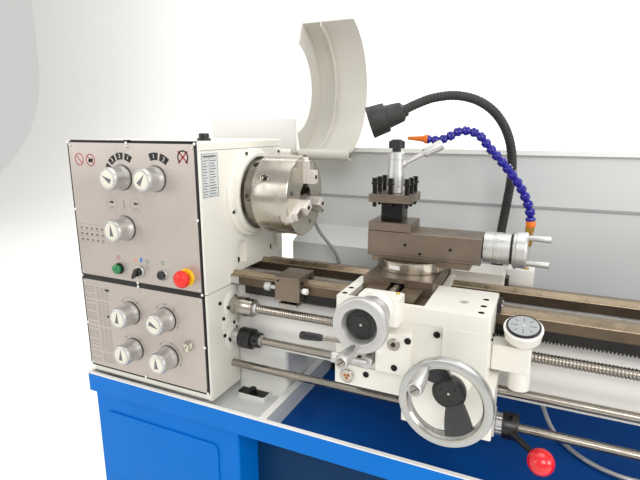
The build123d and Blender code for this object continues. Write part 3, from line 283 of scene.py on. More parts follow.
MATERIALS = {
    "cast": simple("cast_enamel", CAST, coat=0.25),
    "blue": simple("blue_coat", BLUE, coat=0.3),
    "white": simple("white_enamel", WHITE, coat=0.2),
    "iron": simple("ground_iron", IRON),
    "slide": simple("ground_slide", dict(IRON, colour="85786A", stretch=(0.3, 1, 1), grain_tint=0.06,
                                         stain=0.12)),
    "steel": simple("bright_steel", STEEL),
    "wheel": simple("wheel_rim", dict(SATIN, colour="BDBEBC", rough=0.3)),
    "polish": simple("polished_steel", POLISH),
    "satin": simple("satin_metal", SATIN),
    "jaw": simple("ground_jaw", dict(POLISH, colour="EDE6E0", metal=0.55, rough=0.34)),
    "black": simple("black_plastic", BLACK, coat=0.2),
    "oxide": simple("black_oxide", OXIDE),
    "ink": simple("printed_black", INK),
    "rubber": simple("belt_rubber", RUBBER),
    "cable": simple("cable_sheath", CABLE),
    "cream": simple("knob_face", CREAM),
    "pointer": simple("knob_pointer", POINTER),
    "brass": simple("brass", BRASS),
    "copper": simple("copper_mesh", COPPER),
    "hose": simple("jointed_hose", HOSE, coat=0.3),
    "orange": simple("orange_plastic", ORANGE),
    "red": simple("red_ball", RED, coat=0.6),
    "signal": simple("stop_red", SIGNAL),
    "green": simple("lamp_lens", GREEN, coat=0.6),
    "lamp": simple("lamp_black", LAMP),
    "glass": simple("sight_glass", GLASS, coat=0.8),
    "label": simple("spec_plate", LABEL),
    "dial": simple("dial_plate", dict(LABEL, colour="9DA1A2", metal=0.3)),
    "print_red": simple("printed_red", PRINT_RED),
    "print_grey": simple("printed_grey", PRINT_GREY),
    "print_white": simple("printed_white", PRINT_WHITE),
}


def lathe_turned(look):
    """A look with the marks of turning round the spindle's axis."""
    return dict(look, rings=spindle_rings, grain=900, grain_tint=0.08, stretch=(1, 1, 1))


def dress(nodes, material):
    """Gives CAD nodes a material."""
    for node in nodes.split():
        mesh = frame["nodes"][node].data
        mesh.materials.clear()
        mesh.materials.append(MATERIALS[material] if isinstance(material, str) else material)


# Shapes, in machine millimetres ---------------------------------------------------------

X, Y, Z = Vector((1, 0, 0)), Vector((0, 1, 0)), Vector((0, 0, 1))


class Piece:
    """One visual piece: shapes gathered in one mesh, each with its own material."""

    def __init__(self, name, body, slot):
        self.name, self.body, self.slot = name, body, slot
        self.vertices, self.faces, self.marks, self.used = [], [], [], []

    def add(self, shape, material):
        vertices, faces = shape
        if material not in self.used:
            self.used.append(material)
        start = len(self.vertices)
        self.vertices += [Vector(v) for v in vertices]
        self.faces += [[start + i for i in face] for face in faces]
        self.marks += [self.used.index(material)] * len(faces)
        return self

    def done(self, *replaced, bevel=0.0, angle=35):
        """Makes the object, rides it on its body and hides the CAD nodes it stands for."""
        mesh = bpy.data.meshes.new(self.name)
        mesh.from_pydata([place(v) for v in self.vertices], [], self.faces)
        for key in self.used:
            mesh.materials.append(MATERIALS[key] if isinstance(key, str) else key)
        mesh.polygons.foreach_set("material_index", self.marks)
        shell = bmesh.new()
        shell.from_mesh(mesh)
        bmesh.ops.recalc_face_normals(shell, faces=shell.faces)
        shell.to_mesh(mesh)
        shell.free()
        mesh.shade_smooth()
        mesh.set_sharp_from_angle(angle=math.radians(angle))
        made = bpy.data.objects.new(self.name, mesh)
        bpy.context.scene.collection.objects.link(made)
        if bevel:
            edge = made.modifiers.new("edges", "BEVEL")
            edge.width = bevel / 1000
            edge.segments = 2
            edge.limit_method = "ANGLE"
            edge.angle_limit = math.radians(40)
            edge.harden_normals = True
        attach(made, self.body)
        if replaced:
            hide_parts(*replaced)
        return made


def basis(direction, twist=0.0):
    """Two unit vectors across a direction."""
    axis = Vector(direction).normalized()
    side = Z.cross(axis) if abs(axis.z) < 0.9 else X.copy()
    side = (side - axis * side.dot(axis)).normalized()
    up = axis.cross(side)
    turn = math.radians(twist)
    return axis, side * math.cos(turn) + up * math.sin(turn), up * math.cos(turn) - side * math.sin(turn)


def turned(profile, origin, direction, steps=48, closed=False):
    """Solid of revolution from (distance, radius) points."""
    axis, side, up = basis(direction)
    centre = Vector(origin)
    vertices, faces = [], []
    for along, radius in profile:
        for step in range(steps):
            turn = 2 * math.pi * step / steps
            vertices.append(centre + axis * along + (side * math.cos(turn) + up * math.sin(turn)) * radius)
    rows = len(profile)
    for row in range(rows if closed else rows - 1):
        below, above = row * steps, (row + 1) % rows * steps
        for step in range(steps):
            after = (step + 1) % steps
            faces.append([below + step, below + after, above + after, above + step])
    if not closed:
        faces.append(list(range(steps))[::-1])
        faces.append([(rows - 1) * steps + i for i in range(steps)])
    return vertices, faces


def block(x0, x1, y0, y1, z0, z1, chamfer=0.0):
    """Box with chamfered edges."""
    if not chamfer:
        corners = [(x, y, z) for x in (x0, x1) for y in (y0, y1) for z in (z0, z1)]
        return corners, [[0, 1, 3, 2], [4, 6, 7, 5], [0, 4, 5, 1], [2, 3, 7, 6], [0, 2, 6, 4], [1, 5, 7, 3]]
    c = chamfer
    shell = bmesh.new()
    bmesh.ops.create_cube(shell, size=1.0)
    for v in shell.verts:
        v.co = Vector(((x0 + x1) / 2 + v.co.x * (x1 - x0), (y0 + y1) / 2 + v.co.y * (y1 - y0),
                       (z0 + z1) / 2 + v.co.z * (z1 - z0)))
    bmesh.ops.bevel(shell, geom=shell.edges[:], offset=c, segments=2, profile=0.7, affect="EDGES")
    shell.verts.index_update()
    result = [v.co.copy() for v in shell.verts], [[v.index for v in f.verts] for f in shell.faces]
    shell.free()
    return result


def prism(outline, origin, across, up, depth):
    """Flat outline of (across, up) points pushed along their cross product by depth."""
    a, b = Vector(across).normalized(), Vector(up).normalized()
    push = a.cross(b) * depth
    base = [Vector(origin) + a * u + b * v for u, v in outline]
    count = len(base)
    vertices = base + [v + push for v in base]
    faces = [list(range(count))[::-1], [count + i for i in range(count)]]
    faces += [[i, (i + 1) % count, count + (i + 1) % count, count + i] for i in range(count)]
    return vertices, faces


def around(angle, axis):
    """Unit vector at an angle in degrees, across one of the machine's axes."""
    turn = math.radians(angle)
    if axis == X:
        return Vector((0, math.cos(turn), math.sin(turn)))
    if axis == Z:
        return Vector((math.cos(turn), math.sin(turn), 0))
    return Vector((math.cos(turn), 0, math.sin(turn)))


def raised(outline, origin, across, up, towards, depth):
    """Prism pushed towards a direction, whichever way its outline turns."""
    return prism(outline, origin, across, up, depth if across.cross(up).dot(towards) > 0 else -depth)


def dial_scale(piece, centre, axis, radius, long_stroke, short_stroke):
    """Forty strokes round a drum, every fifth one longer."""
    for step in range(40):
        way, side = around(9 * step, axis), around(9 * step + 90, axis)
        tall = short_stroke if step % 5 else long_stroke
        outline = [(0, -0.3), (tall, -0.3), (tall, 0.3), (0, 0.3)]
        piece.add(raised(outline, Vector(centre) + way * radius, axis, side, way, 0.5), "pointer")


def moved(shape, matrix):
    """A shape carried by a matrix."""
    return [matrix @ Vector(v) for v in shape[0]], shape[1]


def skin(rows, steps):
    """Faces of rows of rings, closed at both ends."""
    faces = []
    for row in range(rows - 1):
        for step in range(steps):
            below, after = row * steps, (step + 1) % steps
            faces.append([below + step, below + after, below + steps + after, below + steps + step])
    faces.append(list(range(steps))[::-1])
    faces.append([(rows - 1) * steps + step for step in range(steps)])
    return faces


def tube(points, radius, steps=16):
    """Round tube through points, with parallel-carried rings."""
    spots = [Vector(p) for p in points]
    vertices, side = [], None
    for index, spot in enumerate(spots):
        before = spots[max(0, index - 1)]
        after = spots[min(len(spots) - 1, index + 1)]
        axis = (after - before).normalized()
        if side is None:
            _, side, _ = basis(axis)
        side = (side - axis * side.dot(axis)).normalized()
        up = axis.cross(side)
        size = radius(index) if callable(radius) else radius
        for step in range(steps):
            turn = 2 * math.pi * step / steps
            vertices.append(spot + (side * math.cos(turn) + up * math.sin(turn)) * size)
    return vertices, skin(len(spots), steps)


def smooth_path(points, per_span=8):
    """Points along a Catmull-Rom curve through the given ones."""
    spots = [Vector(p) for p in points]
    spots = [spots[0] * 2 - spots[1]] + spots + [spots[-1] * 2 - spots[-2]]
    path = []
    for a, b, c, d in zip(spots, spots[1:], spots[2:], spots[3:]):
        for step in range(per_span):
            t = step / per_span
            path.append(0.5 * (2 * b + (c - a) * t + (2 * a - 5 * b + 4 * c - d) * t * t
                               + (3 * b - a - 3 * c + d) * t ** 3))
    path.append(spots[-2])
    return path


def cap_screw(piece, origin, direction, radius=4.0, material="oxide"):
    """Socket-head screw with a round hole for its key."""
    height = radius * 1.1
    piece.add(turned([(0, radius), (height - 0.6, radius), (height, radius - 0.7), (height, radius * 0.55),
                      (height - radius * 0.6, radius * 0.5)], origin, direction, 24), material)
    return piece


def dome_screw(piece, origin, direction, radius=4.0, material="satin"):
    piece.add(turned([(0, radius), (radius * 0.25, radius), (radius * 0.5, radius * 0.8),
                      (radius * 0.65, radius * 0.35)], origin, direction, 20), material)
    return piece


def arc(radius, start, end, steps=24):
    return [(radius * math.cos(math.radians(start + (end - start) * i / steps)),
             radius * math.sin(math.radians(start + (end - start) * i / steps))) for i in range(steps + 1)]


def band(inner, outer, start, end, steps=24):
    """Outline of a flat ring sector."""
    return arc(outer, start, end, steps) + arc(inner, end, start, steps)


# Cords ----------------------------------------------------------------------------------

SWITCH_CABLE = [
    (20, 142, 30), (50, 142, 30), (84, 137, -8), (108, 132, -62), (130, 131, -112), (154, 133, -140),
    (176, 138, -166), (189, 144, -198), (194, 150, -250), (192, 151, -320), (186, 150, -392),
    (178, 154, -452), (172, 160, -500),
]
FEED_CONDUIT = [
    (690, 238, -404), (692, 214, -407), (702, 176, -424), (716, 142, -458), (734, 112, -496),
    (752, 84, -523), (776, 46, -530), (806, 8, -530), (846, -20, -530), (892, -33, -530), (940, -28, -530),
    (984, -4, -530), (1018, 34, -530), (1044, 80, -530), (1052, 128, -530), (1056, 172, -530),
]


def cord(name, route, radius, material, node):
    curve = bpy.data.curves.new(name, "CURVE")
    curve.dimensions = "3D"
    curve.bevel_depth = radius / 1000
    curve.bevel_resolution = 5
    curve.resolution_u = 10
    curve.use_fill_caps = True
    spline = curve.splines.new("NURBS")
    spline.points.add(len(route) - 1)
    for point, spot in zip(spline.points, route):
        point.co = (*place(spot), 1.0)
    spline.order_u = 3
    spline.use_endpoint_u = True
    curve.materials.append(MATERIALS[material])
    made = bpy.data.objects.new(name, curve)
    bpy.context.scene.collection.objects.link(made)
    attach(made, "frame")
    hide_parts(node)


cord("switch_lead", SWITCH_CABLE, 4.5, "cable", "switch_cable")
cord("power_conduit", FEED_CONDUIT, 5.5, "satin", "feed_conduit")


# Stage ----------------------------------------------------------------------------------

def make_stage():
    mesh = bpy.data.meshes.new("floor")
    size = 9.0
    back, lift = 3.2, 2.6
    rows = [(-size, 0.0), (back, 0.0)]
    rows += [(back + lift * math.sin(math.radians(a)), lift * (1 - math.cos(math.radians(a))))
             for a in range(6, 91, 6)]
    rows.append((back + lift, 7.0))
    vertices = [(x, y, z - 0.0005) for y, z in rows for x in (-size, size)]
    faces = [[2 * i, 2 * i + 1, 2 * i + 3, 2 * i + 2] for i in range(len(rows) - 1)]
    mesh.from_pydata(vertices, [], faces)
    mesh.shade_smooth()
    material = simple("studio_floor", dict(colour="F2F1EE", rough=0.75, patch=1, mottle=0.01, grain=300,
                                           depth=0.0))
    mesh.materials.append(material)
    floor = bpy.data.objects.new("floor", mesh)
    bpy.context.scene.collection.objects.link(floor)


def soft_light(name, spot, aim, size, watts):
    data = bpy.data.lights.new(name, "AREA")
    data.shape = "RECTANGLE"
    data.size, data.size_y = size
    data.energy = watts
    lamp_object = bpy.data.objects.new(name, data)
    lamp_object.location = spot
    lamp_object.rotation_euler = (Vector(aim) - Vector(spot)).to_track_quat("-Z", "Y").to_euler()
    bpy.context.scene.collection.objects.link(lamp_object)


def make_lights():
    world = bpy.data.worlds.new("studio")
    world.use_nodes = True
    background = world.node_tree.nodes["Background"]
    background.inputs["Color"].default_value = (1.0, 0.99, 0.975, 1.0)
    background.inputs["Strength"].default_value = 0.62
    bpy.context.scene.world = world
    soft_light("key", (1.6, -3.4, 3.4), (-0.2, 0, 1.0), (2.4, 1.6), 70)
    soft_light("fill", (-3.2, -2.6, 2.2), (-0.3, 0, 1.0), (2.2, 2.2), 34)
    soft_light("top", (-0.1, 0.2, 3.7), (-0.1, 0, 0.9), (3.2, 1.8), 36)
    soft_light("rear", (1.6, 3.0, 2.9), (0, 0.2, 1.0), (2.4, 1.6), 60)
    soft_light("side", (3.4, -1.0, 2.0), (-0.5, 0, 1.1), (1.6, 1.6), 46)
    soft_light("backdrop", (-0.8, 2.2, 4.4), (-1.2, 5.6, 1.6), (6.0, 1.5), 260)
    bpy.context.scene.view_settings.view_transform = "Standard"


make_stage()
make_lights()


# CAD nodes that stay --------------------------------------------------------------------

BED = Paint("bed_finish").build(WHITE, [
    # painted shade and highlight: the rail's vertical front face gets a darker iron colour and the V slopes
    # above -194.5 a lighter one, for how the lamps fall on each face
    dict(look=dict(IRON, colour="665848"), boxes=[((None, None, -217), (None, None, None))]),
    dict(look=RAIL_AND_HIGHLIGHT, boxes=[((None, None, -194.5), (None, None, None))]),
    dict(look=OXIDE, boxes=[((None, -101, -237), (None, -70.5, -216.4)),
                            ((None, -115, -506.5), (None, -80, -488)),
                            ((None, 80, -506.5), (None, 115, -488))]),
    dict(look=SATIN, boxes=[((1361, -130, -455), (1403, -71, -240))]),
], coat=0.1)
TRAY = Paint("tray_finish").build(BLUE, [
    dict(look=WHITE, boxes=[((None, None, TRAY_TOP), (None, None, None))]),
    dict(look=SHEET, boxes=[((-394.5, -212.5, -536.5), (158.2, 258.5, -489))]),
    dict(look=dict(BLUE, colour="004690"), boxes=[((158.3, -212.6, -538), (1472.6, 258.6, TRAY_TOP))]),
], gloss=0.15)
COVER_SCREWS = [(15.6, 106.5 * math.cos(math.radians(a)), 106.5 * math.sin(math.radians(a)))
                for a in (20, 110, 200, 290)]
HEAD = Paint("headstock_finish").build(CAST, [
    dict(look=OXIDE, boxes=[((14.1, y - 4.6, z - 4.6), (18, y + 4.6, z + 4.6)) for x, y, z in COVER_SCREWS]
         + [((-11.8, y - 19.5, -174), (-3, y - 4.5, -158.5)) for y in (-48, 111)]
         + [((0.5, 131.5, 19.5), (21, 152.5, 40.5))]),
    dict(look=STEEL, boxes=[((41, 140, 75), (216, 172, 107))]),
], coat=0.25)
LID = Paint("lid_finish").build(CAST, [
    dict(look=BLACK, boxes=[((None, None, 132.2), (None, None, None))]),
], coat=0.25)
PANELS = Paint("panel_finish").build(PANEL, [
    dict(look=BLACK, boxes=[((None, -206.6, None), (None, None, None))]),
    dict(look=SATIN, boxes=[((None, None, None), (None, -209.08, None))]),
    dict(look=POLISH, boxes=[((-69, None, -364), (-39, -209.08, -334))]),
    dict(look=GREEN, boxes=[((-270.5, None, -194.5), (-241.5, -213.2, -165.5))]),
    dict(look=BLACK, boxes=[((-270.5, -213.2, -194.5), (-241.5, -209.08, -165.5)),
                            ((-132.5, None, -194.5), (-103.5, -209.08, -165.5))]),
    dict(look=YELLOW, boxes=[((-66.5, None, -197.5), (-23.5, -209.08, -154.5))]),
])
GEARBOX = Paint("gearbox_finish").build(CAST, [
    dict(look=OXIDE, boxes=[((0.15, None, None), (None, None, None))]),
], coat=0.25)
SPLASH = Paint("splash_finish").build(SHEET, [
    dict(look=BLACK, boxes=[((150, 130, -540), (190, 200, -495))]),
    dict(look=WHITE, boxes=[((None, None, 95.8), (None, None, None))]),
    # painted shade: the seam is real, and the darker grey band along it stands in for the shade in its crease
    dict(look=dict(SHEET, colour="A2A6A6"), boxes=[((None, None, -34.2), (None, 252, -27.8))]),
    dict(look=STEEL, boxes=[((675, 225, -420), (705, 251, -385)), ((1040, 165, -540), (1075, 200, -518))]),
], coat=0.15)
CHUCK = simple("chuck_finish", lathe_turned(POLISH))
CHUCK_BODY = Paint("chuck_body_finish").build(lathe_turned(POLISH), [
    dict(look=dict(STEEL, colour="8C867C"), boxes=[((33, None, None), (61.8, None, None))]),
])
QUILL = simple("quill_finish", lathe_turned(STEEL))
APRON = Paint("apron_finish").build(CAST, [
    dict(look=POLISH, boxes=[((341.5, -219, -346.5), (370.5, -213.05, -317.5))]),
], coat=0.25)
SADDLE_HOLES = [(338, -186), (338, -150), (604, -186), (604, -150), (604, -110)]
SADDLE = Paint("saddle_finish").build(CAST, [
    dict(look=IRON, boxes=[((349.6, -195.9, -186), (502.4, 161, None))]),
    dict(look=BLACK, boxes=[((624.2, None, None), (None, None, None))]),
    dict(look=OXIDE, boxes=[((x - 6.2, y - 6.2, WING_TOP - 9), (x + 6.2, y + 6.2, WING_TOP - 0.3))
                            for x, y in SADDLE_HOLES]),
], coat=0.15)
STAND = Paint("stand_finish").build(BLUE, [
    # painted shade: the back panel of the knee recess gets a darker blue to stand in for the shadow that
    # falls in the recess
    dict(look=dict(BLUE, colour="0A3358"), boxes=[((74, -121, None), (1031, -100, -541))]),
    dict(look=BLACK, boxes=[((None, None, None), (None, None, FLOOR_Z + 29.5))]),
], gloss=0.12)

dress("bed", BED)
dress("chip_tray", TRAY)
dress("stand", STAND)
dress("headstock_casting", HEAD)
dress("headstock_lid", LID)
dress("front_panels", PANELS)
dress("feed_gearbox", GEARBOX)
dress("end_cover", "cast")
dress("electrical_box splash_guard", SPLASH)
dress("motor", simple("motor_paint", dict(SHEET, colour="5C6468"), coat=0.1))
dress("drive_belt", "rubber")
dress("motor_pulley input_pulley idler_gear", "steel")
dress("spindle", CHUCK)
dress("chuck_body", CHUCK_BODY)
dress("chuck_scroll control_rod", "steel")
dress("saddle", SADDLE)
dress("apron", APRON)
dress("cross_slide swivel_base top_slide", "slide")
dress("tailstock_base", "iron")
dress("tailstock_body", "cast")
dress("tailstock_quill", QUILL)
dress("tailstock_handwheel", "satin")
dress("quill_lock tailstock_clamp", "black")
dress("chuck_guard", simple("guard_sheet", dict(colour="C9C6BC", rough=0.4, patch=6, mottle=0.04, grain=600,
                                                depth=0.06), coat=0.15))


# Panel marks ----------------------------------------------------------------------------

def digits(text, size):
    """Outlines of a short number as flat faces, centred on the origin."""
    curve = bpy.data.curves.new("number", "FONT")
    curve.body = text
    curve.size = size
    curve.align_x = "CENTER"
    curve.align_y = "CENTER"
    curve.extrude = 0.15
    curve.resolution_u = 3
    holder = bpy.data.objects.new("number", curve)
    mesh = bpy.data.meshes.new_from_object(holder)
    shape = [v.co.copy() for v in mesh.vertices], [list(p.vertices) for p in mesh.polygons]
    bpy.data.objects.remove(holder)
    bpy.data.meshes.remove(mesh)
    bpy.data.curves.remove(curve)
    return shape


def panel_matrix(x, z, turn=0.0, y=PANEL_Y):
    """Lays a flat shape on the front plates, its top turned from upright by some degrees."""
    return (Matrix.Translation((x, y, z)) @ Matrix.Rotation(math.radians(90), 4, "X")
            @ Matrix.Rotation(math.radians(turn), 4, "Z"))


class Marks(Piece):
    """Ink on the front plates."""

    def flat(self, outline, material, x=0.0, z=0.0, turn=0.0, depth=0.3):
        shape = prism(outline, (0, 0, 0), X, Y, depth)
        return self.add(moved(shape, panel_matrix(x, z, turn, PANEL_Y + 0.1)), material)

    def bar(self, x0, x1, z0, z1, material, turn=0.0, at=(0.0, 0.0)):
        return self.flat([(x0, z0), (x1, z0), (x1, z1), (x0, z1)], material, at[0], at[1], turn)

    def ring(self, x, z, inner, outer, material, start=0.0, end=360.0):
        steps = max(6, int((end - start) / 9))
        if end - start < 360:
            return self.flat(band(inner, outer, start, end, steps), material, x, z)
        for half in (0, 180):
            self.flat(band(inner, outer, half, half + 180, 20), material, x, z)
        return self

    def number(self, text, size, x, z, material, turn=0.0):
        return self.add(moved(digits(text, size), panel_matrix(x, z, turn, PANEL_Y - 0.25)), material)


def arrow(length, width):
    return [(-length / 2, -width / 4), (0, -width / 4), (0, -width / 2), (length / 2, 0), (0, width / 2),
            (0, width / 4), (-length / 2, width / 4)]


def upper_marks():
    marks = Marks("panel_print_upper", "frame", "black_plastic")
    for index, text in enumerate(("4", "3", "2", "1")):
        turn = 157 - 30 * index
        marks.flat(band(42, 58, turn - 12, turn + 12, 6), "ink", -218, 47)
        spot = (-218 + 50 * math.cos(math.radians(turn)), 47 + 50 * math.sin(math.radians(turn)))
        marks.number(text, 13, *spot, "print_white", turn - 90)
    for index, text in enumerate(("1", "2")):
        turn = 96 - 34 * index
        marks.flat(band(42, 59, turn - 14, turn + 14, 6), "ink", -115, 48)
        spot = (-115 + 50 * math.cos(math.radians(turn)), 48 + 50 * math.sin(math.radians(turn)))
        marks.number(text, 13, *spot, "print_white", turn - 90)
    for x, z in ((-358, 86), (-320, 85)):
        marks.ring(x, z, 12.5, 15, "print_red")
        marks.bar(-13, 13, -1.1, 1.1, "print_red", -45, (x, z))
    marks.flat([(-8, -4), (-3, -6), (5, -5), (9, 0), (7, 5), (2, 3), (-3, 4), (-7, 1)], "ink", -320, 85)
    for turn in (45, -45):
        marks.bar(-19, 19, -1.8, 1.8, "print_red", turn, (-37, 98))
    marks.ring(-37, 98, 12, 15.5, "ink", -60, 235)
    for x, turn in ((-262, 0), (-186, 180)):
        marks.ring(x, -19, 16.2, 16.9, "print_grey")
        marks.flat(arrow(15, 8), "ink", x, -14, turn)
        for row in range(2):
            marks.bar(-7, 7, -25.5 - 3 * row, -24 - 3 * row, "print_grey", 0, (x, 0))
    marks.bar(-223.6, -222.2, -28, -8, "ink")
    for row in range(3):
        z = -84 - 15 * row
        for column in range(5):
            x = -376 + 18 * column
            marks.number(str((3 * row + 2 * column + 1) % 10) + "0", 7, x, z - 2.4, "ink")
        marks.bar(-386, -296, z - 8.2, z - 7.7, "print_grey")
    marks.bar(-386, -296, -76.2, -75.7, "print_grey")
    for x, z, key in ((-201, -153, "orange"), (-164, -152, "green"), (-116, -151, "green"),
                      (-256, -152, "print_red")):
        marks.ring(x, z, 3.6, 5, key)
    marks.flat(arrow(13, 11), "blue", -183, -150, 90)
    return marks.done()


def lower_marks():
    marks = Marks("panel_print_lower", "frame", "black_plastic")
    for (x, z), ticks in (((-232, -294), (130, 52)), ((-118, -292), (135, 95, 45, -25)),
                          ((-231, -392), (130, 50)), ((-118, -391), (128, 75, 40, -22))):
        marks.ring(x, z, 39.4, 40.1, "print_grey", min(ticks) - 14, max(ticks) + 14)
        for turn in ticks:
            marks.bar(35, 40, -0.9, 0.9, "ink", turn, (x, z))
    for column, (left, right) in enumerate(((-388, -352), (-346, -303))):
        for row in range(38):
            z = -242 - 5.6 * row
            if row % 9 in (3, 8) and column == 0 or row % 13 == 6:
                continue
            cells = 5 if row > 28 else 3
            step = (right - left) / cells
            for cell in range(cells):
                marks.bar(left + cell * step, left + (cell + 0.72) * step, z - 1.9, z, "print_grey")
    for x, z in ((-309, -246), (-311, -318)):
        marks.bar(-7, 7, -3.6, 3.6, "ink", 0, (x, z))
    return marks.done()


upper_marks()
lower_marks()


# Knobs and switches ---------------------------------------------------------------------

POINTERS = {"range": 152, "speed": 52, "reverse": 95, "feed_a": 84, "feed_b": -22, "feed_c": 86, "feed_d": 92}


def detailed_knob(name, pointer):
    low, high = machine_box("knob_" + name)
    x, z, back = (low.x + high.x) / 2, (low.z + high.z) / 2, high.y
    centre, out = (x, back, z), OUT
    knob = Piece("dial_knob_" + name, "knob_" + name, "knob_metal")
    knob.add(turned([(0, 30.4), (1.4, 30.4), (1.8, 29.8), (1.8, 26)], centre, out, 56), "oxide")
    barrel = [(1.6, 28), (2.2, 29.4), (9, 28.6), (11, 27.2), (20, 26.4), (34, 26.6), (36, 27), (41, 26.4),
              (44.5, 24.4), (46, 21.8), (46, 20.6), (44.8, 20.2)]
    knob.add(turned(barrel, centre, out, 64), "satin")
    knob.add(turned([(44.2, 20.1), (45.2, 20.1), (45.4, 19.4)], centre, out, 48), "cream")
    outline = [(17, 0), (-12.5, -6), (-11.5, 0), (-12.5, 6)]
    tip, side = around(pointer, OUT), around(pointer + 90, OUT)
    knob.add(raised(outline, (x, back - 45.3, z), tip, side, OUT, 0.5), "pointer")
    for angle in (70, 250):
        way = around(angle, OUT)
        knob.add(turned([(-1, 2.2), (0.35, 2.2), (0.4, 1.2)], Vector((x, back - 7, z)) + way * 28, way, 12),
                 "oxide")
    return knob.done("knob_" + name, angle=30)


for name, pointer in POINTERS.items():
    detailed_knob(name, pointer)


def switches():
    selector = Piece("selector_lever", "selector", "black_plastic")
    spot, out = (-189, PANEL_Y - 0.6, -180), OUT
    selector.add(turned([(0, 14.5), (3.5, 14.5), (5, 12.5), (5, 10)], spot, out, 40), "satin")
    selector.add(turned([(4.5, 10.5), (12, 10.2), (13, 9)], spot, out, 32), "black")
    outline = [(-5, 8), (-4, -10), (-1.5, -17), (1.5, -17), (4, -10), (5, 8), (2, 11), (-2, 11)]
    handle = prism(outline, (0, 0, 0), X, Y, 9)
    selector.add(moved(handle, panel_matrix(-189, -180, -32, PANEL_Y - 12)), "black")
    selector.done("selector_switch", bevel=0.6)
    button = Piece("start_cap", "start_button", "black_plastic")
    x, z, front = -118, -180, PANEL_Y - 4
    button.add(turned([(0, 9.9), (6, 9.9), (7, 9.2), (6.4, 7.5), (6.1, 2)], (x, front, z), out, 40), "black")
    button.done("push_button", angle=30)
    lens = Piece("signal_lens", "frame", "black_plastic")
    lens.add(turned([(8, 11.5), (10, 12.6), (13, 12.4), (16, 10), (17.4, 5)], (-256, PANEL_Y, -180), out,
                    40), "green")
    lens.add(turned([(-0.5, 15), (3, 15), (5, 13.6)], (-118, PANEL_Y, -180), out, 40), "satin")
    lens.done(angle=40)
    sight = Piece("oil_sight", "frame", "ground_iron")
    spot = (-54, PANEL_Y, -349)
    sight.add(turned([(8, 12), (10.5, 11.6), (11, 9.5), (9.4, 7.4), (9.3, 6)], spot, out, 40), "polish")
    sight.add(turned([(9, 6.6), (10, 6.2), (10.6, 3)], spot, out, 24), "glass")
    sight.add(turned([(9.5, 2.2), (11, 2.2), (11.3, 1)], spot, out, 20), "oxide")
    sight.done(angle=35)


switches()


def stop_head():
    """Mushroom of the emergency stop with its rounded rim."""
    x, z = -45.0, -176.0
    head = Piece("stop_mushroom", "estop", "red_plastic")
    front = (x, PANEL_Y - 7, z)
    profile = [(0, 11), (7, 11), (7.5, 17), (9, 19.6), (12, 20.6), (16, 20.3), (20, 18.6), (23.5, 15.2),
               (25.8, 10.5), (26.8, 5)]
    head.add(turned(profile, front, OUT, 64), "signal")
    head.done("estop_button", angle=50)


stop_head()


# Headstock fittings ---------------------------------------------------------------------

def headstock_fittings():
    piece = Piece("headstock_fittings", "frame", "black_plastic")
    right = Y, Z
    plate = [(-195, 6.5), (-134, 6.5), (-134, 107), (-195, 107)]
    piece.add(prism(plate, (-0.1, 0, 0), *right, 0.7), "label")
    frame_lines = [(-193, 8.5, -136, 9.3), (-193, 104, -136, 104.8), (-193, 8.5, -192.2, 104.8),
                   (-136.8, 8.5, -136, 104.8), (-193, 94, -136, 94.6), (-168, 8.5, -167.4, 94)]
    for y0, z0, y1, z1 in frame_lines:
        piece.add(prism([(y0, z0), (y1, z0), (y1, z1), (y0, z1)], (0.5, 0, 0), *right, 0.35), "pointer")
    for row in range(13):
        z = 88.5 - 6.2 * row
        for y0, y1 in ((-190, -172 - (row * 5) % 9), (-165, -141 - (row * 7) % 10)):
            piece.add(prism([(y0, z), (y1, z), (y1, z + 1.8), (y0, z + 1.8)], (0.5, 0, 0), *right, 0.35),
                      "pointer")
    piece.add(prism([(-188, 97), (-142, 97), (-142, 101), (-188, 101)], (0.5, 0, 0), *right, 0.35), "pointer")
    for y, z in ((-191, 10), (-138, 10), (-191, 103), (-138, 103)):
        piece.add(turned([(0, 1.4), (1.1, 1.4), (1.4, 0.7)], (0.3, y, z), X, 12), "satin")
    for y, z in ((134, 98), (158, 98), (134, 73)):
        cap_screw(piece, (7.5, y, z), X, 3.4)
    for y, z in ((-152.7, -252.3), (-119, -275), (-140, -296), (-98.5, -320), (-139, -341), (-119, -361)):
        piece.add(turned([(-0.3, 4.6), (3.0, 4.6), (3.4, 4), (3.4, 2.6), (2.6, 2.3)], (0, y, z), X, 24),
                  "oxide")
    for y, z in ((-183, -440), (-120, -470), (-90, -455)):
        piece.add(turned([(-0.2, 3.4), (0.6, 3.4), (0.8, 2.5)], (0, y, z), X, 20), "cast")
    for y, z, r, out in ((SCREW_Y, SCREW_Z, 36, 2.0), (-112, -318, 34, 1.5), (SCREW_Y, FEED_Z, 36, 2.5)):
        piece.add(turned([(-0.5, r), (out - 0.9, r), (out, r - 1.2)], (0, y, z), X, 72), "cast")
    piece.add(block(-208, -192, -209.5, -201, 128.5, 134, 0.8), "oxide")
    for x0, x1, z0, z1 in ((-394, -2, -222.5, -209), (-394, -2, 126.5, 129), (-394, -2, -467.4, -463.5),
                           (-394.3, -391, -467, -221), (-394.3, -391, -211, 128.5), (-6, -2, -467, -221),
                           (-6, -2, -211, 128.5)):
        piece.add(block(x0, x1, -209.35, -203.5, z0, z1, 0.1), "ink")
    for x, z in ((-390.5, -40), (-6, -40), (-390.5, -345), (-6, -345), (-392, -214), (-5, -214), (-200, -211),
                 (-200, -220), (-392, 127), (-4, 127), (-200, 127), (-392, -464), (-4, -464), (-200, -464)):
        dome_screw(piece, (x, PANEL_Y, z), OUT, 3.4, "print_white")
    lid = Piece("lid_seam", "frame", "cast_paint")
    lid.add(block(-388, -3, -204.35, -200, 128.4, 132.6, 0.5), "oxide")
    lid.add(block(-1, 0.25, -196, 158, 111.4, 112.6), "pointer")
    lid.done()
    return piece.done(angle=40)


headstock_fittings()


# Chuck ----------------------------------------------------------------------------------

